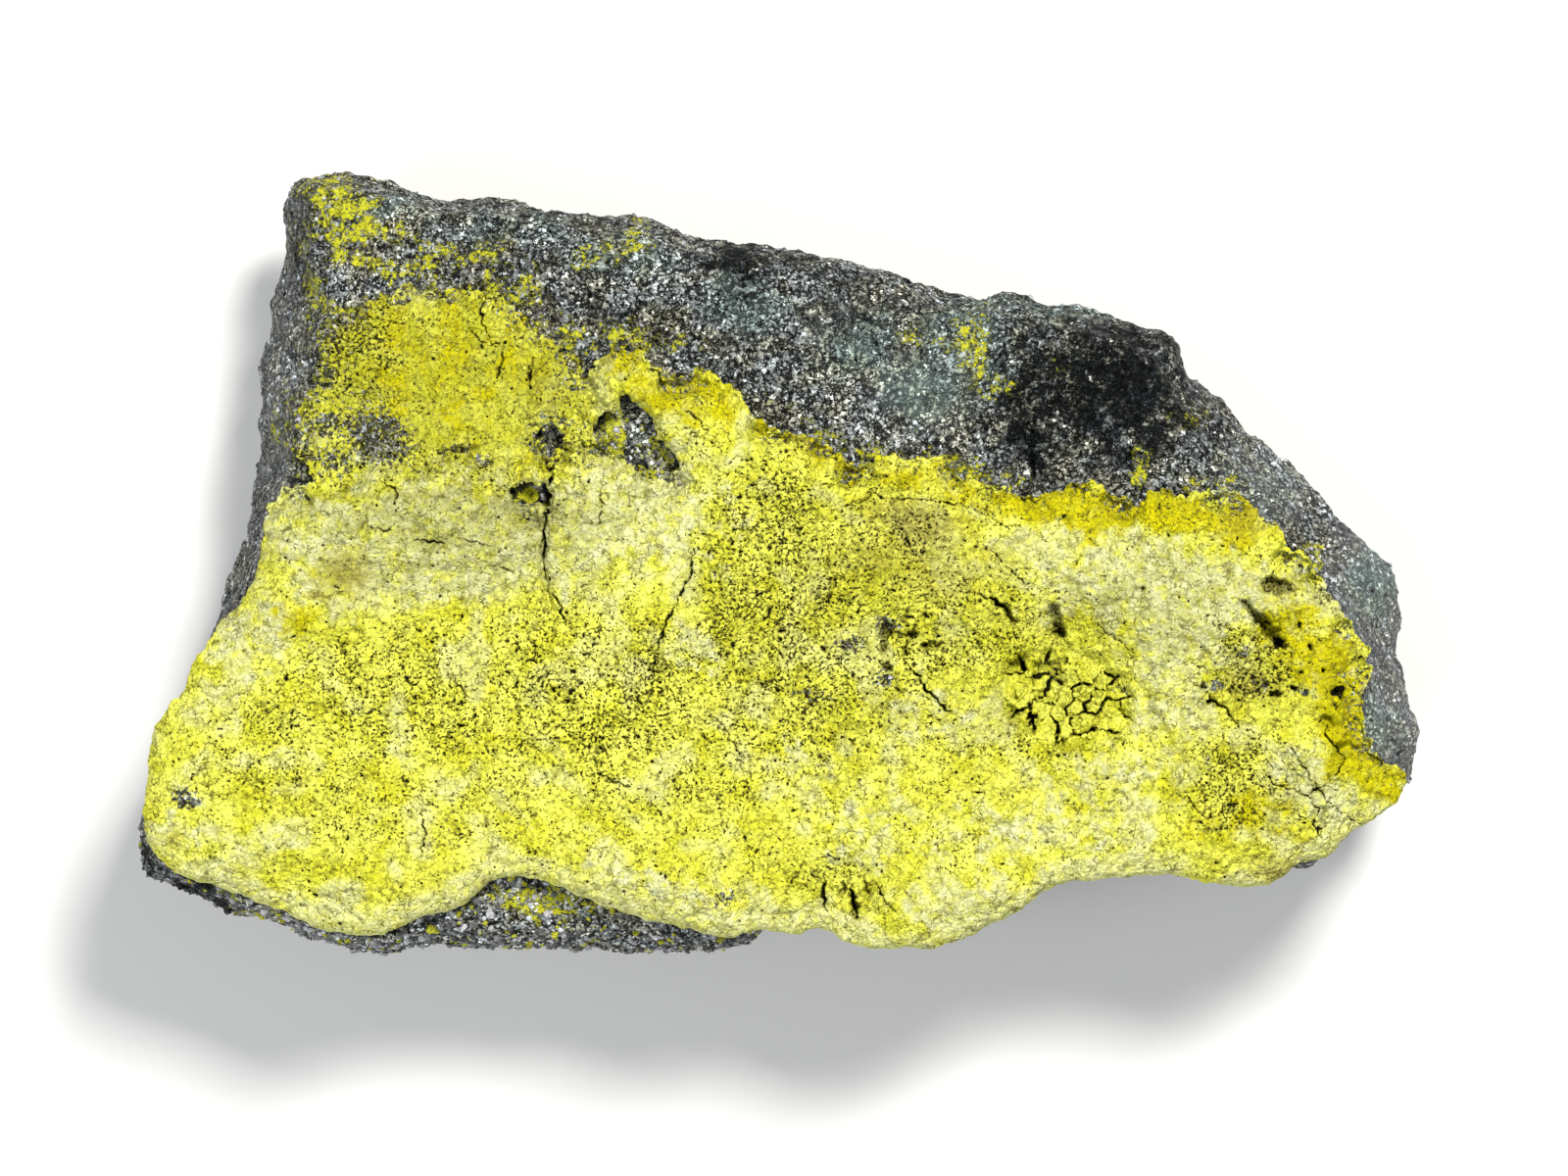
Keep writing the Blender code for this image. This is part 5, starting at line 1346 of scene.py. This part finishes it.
def make_light(name, place, size, power, colour):
    """A square soft box at a place in metres, facing the specimen."""
    lamp = bpy.data.lights.new(name, "AREA")
    lamp.size = size
    lamp.energy = power
    lamp.color = colour
    light = bpy.data.objects.new(name, lamp)
    light.location = place
    light.rotation_euler = (Vector(place) * -1.0).to_track_quat("-Z", "Y").to_euler()
    bpy.context.scene.collection.objects.link(light)


def make_studio():
    make_light("key", (0.18, 0.32, 0.58), 0.16, 5.9, (1.0, 0.985, 0.955))
    make_light("fill", (-0.38, -0.30, 0.58), 0.50, 3.4, (0.95, 0.975, 1.0))
    world = bpy.data.worlds.new("studio")
    world.use_nodes = True
    background = world.node_tree.nodes["Background"]
    background.inputs["Color"].default_value = (0.92, 0.95, 1.0, 1.0)
    background.inputs["Strength"].default_value = 0.29
    bpy.context.scene.world = world
    bpy.context.scene.view_settings.view_transform = "Standard"


def make_camera():
    lens = bpy.data.cameras.new("camera")
    lens.lens = LENS
    lens.sensor_width = SENSOR
    lens.clip_start = 0.01
    camera = bpy.data.objects.new("camera", lens)
    camera.location = (CAMERA_X * MM, CAMERA_Y * MM, CAMERA_Z * MM)
    bpy.context.scene.collection.objects.link(camera)
    bpy.context.scene.camera = camera


# ---------------------------------------------------------------- the specimen


def build_crust():
    skin = read_node(CRUST_NODE, CRUST_CUTS)
    reach = Reach(edge_segments(skin))
    round_off(skin, crust_longest, CRUST_ROUNDING, CRUST_CUTS)
    masks = shape_crust(skin, reach, CRUST_CUTS)
    blank = np.zeros(len(masks.pale))
    colours = {"zones": channels(masks.pale, masks.gold, masks.brown, masks.grey),
               "relief": channels(masks.pit, masks.crease, masks.dim, masks.bright),
               "surface": channels(masks.pitted, blank, masks.blocks, blank)}
    names = ("yellow_crust_west", "yellow_crust_middle", "yellow_crust_east")
    material = crust_material()
    make_pieces(names, skin, CRUST_CUTS, colours, material, CRUST_NODE)
    scatter_crumbs(skin, masks, colours, material)
    return reach


def scatter_crumbs(skin, masks, colours, material):
    """Loose clumps of powder along the torn upper edge, in the pitted powder and round the blocks."""
    edge = smoothstep(2.0, 0.2, masks.inside) * smoothstep(0.0, 0.5, masks.rough)
    density = 0.06 + 0.7 * edge + 0.22 * masks.pitted + 0.6 * masks.blocks
    density *= (skin.verts[:, 2] > CRUST_FOOT_Z - 0.1) * (1.0 - smoothstep(0.2, 0.5, masks.pit))
    density *= 1.0 - 0.7 * masks.pale

    def masks_of(hosts, random, _):
        blank = np.zeros(len(hosts))
        return {"zones": colours["zones"][hosts], "surface": channels(blank, blank, blank + 1.0, blank),
                "relief": channels(blank, blank, masks.dim[hosts], random)}

    sizes = (0.14, np.full(len(density), 0.42))
    scatter("crust_crumbs", skin, density, sizes, 7, masks_of, material)


def build_rock(reach):
    skin = read_node(ROCK_NODE, ROCK_CUTS)
    round_off(skin, rock_longest(reach), ROCK_ROUNDING, ROCK_CUTS)
    masks = shape_rock(skin, reach, ROCK_CUTS)
    blank = np.zeros(len(masks.dark))
    colours = {"zones": channels(masks.dark, masks.light, masks.teal, masks.stain),
               "relief": channels(blank, masks.soft, blank, masks.bright)}
    names = ("sandstone_west", "sandstone_middle", "sandstone_east")
    material = rock_material()
    make_pieces(names, skin, ROCK_CUTS, colours, material, ROCK_NODE)
    scatter_quartz(skin, colours, reach.at(skin.verts), material)


def scatter_quartz(skin, colours, under, material):
    """Quartz grains that stand proud of the sandstone, most of all along its lower edge."""
    coarse = patches(as_seen(skin.verts), COARSE)
    rim = smoothstep(0.75, 0.35, normals_of(skin)[:, 2]) * smoothstep(8.0, 16.0, skin.verts[:, 2])
    density = 0.11 + 1.35 * coarse + 0.15 * rim
    density *= (skin.verts[:, 2] > 1.5) * ((under < -0.1) | (skin.verts[:, 2] < COVERED_Z))

    def masks_of(hosts, random, other):
        blank = np.zeros(len(hosts))
        zones = colours["zones"][hosts] * (1.0, 0.3, 1.0, 0.5)
        zones[:, 3] = np.maximum(zones[:, 3], (other < 0.12) & (coarse[hosts] > 0.3))
        return {"zones": zones, "relief": channels(blank + 1.0, blank, blank, random)}

    sizes = (0.15, mix(0.38, 0.48, coarse))
    scatter("quartz_grains", skin, density, sizes, 11, masks_of, material)


def main():
    make_camera()
    make_floor()
    make_studio()
    build_rock(build_crust())


main()
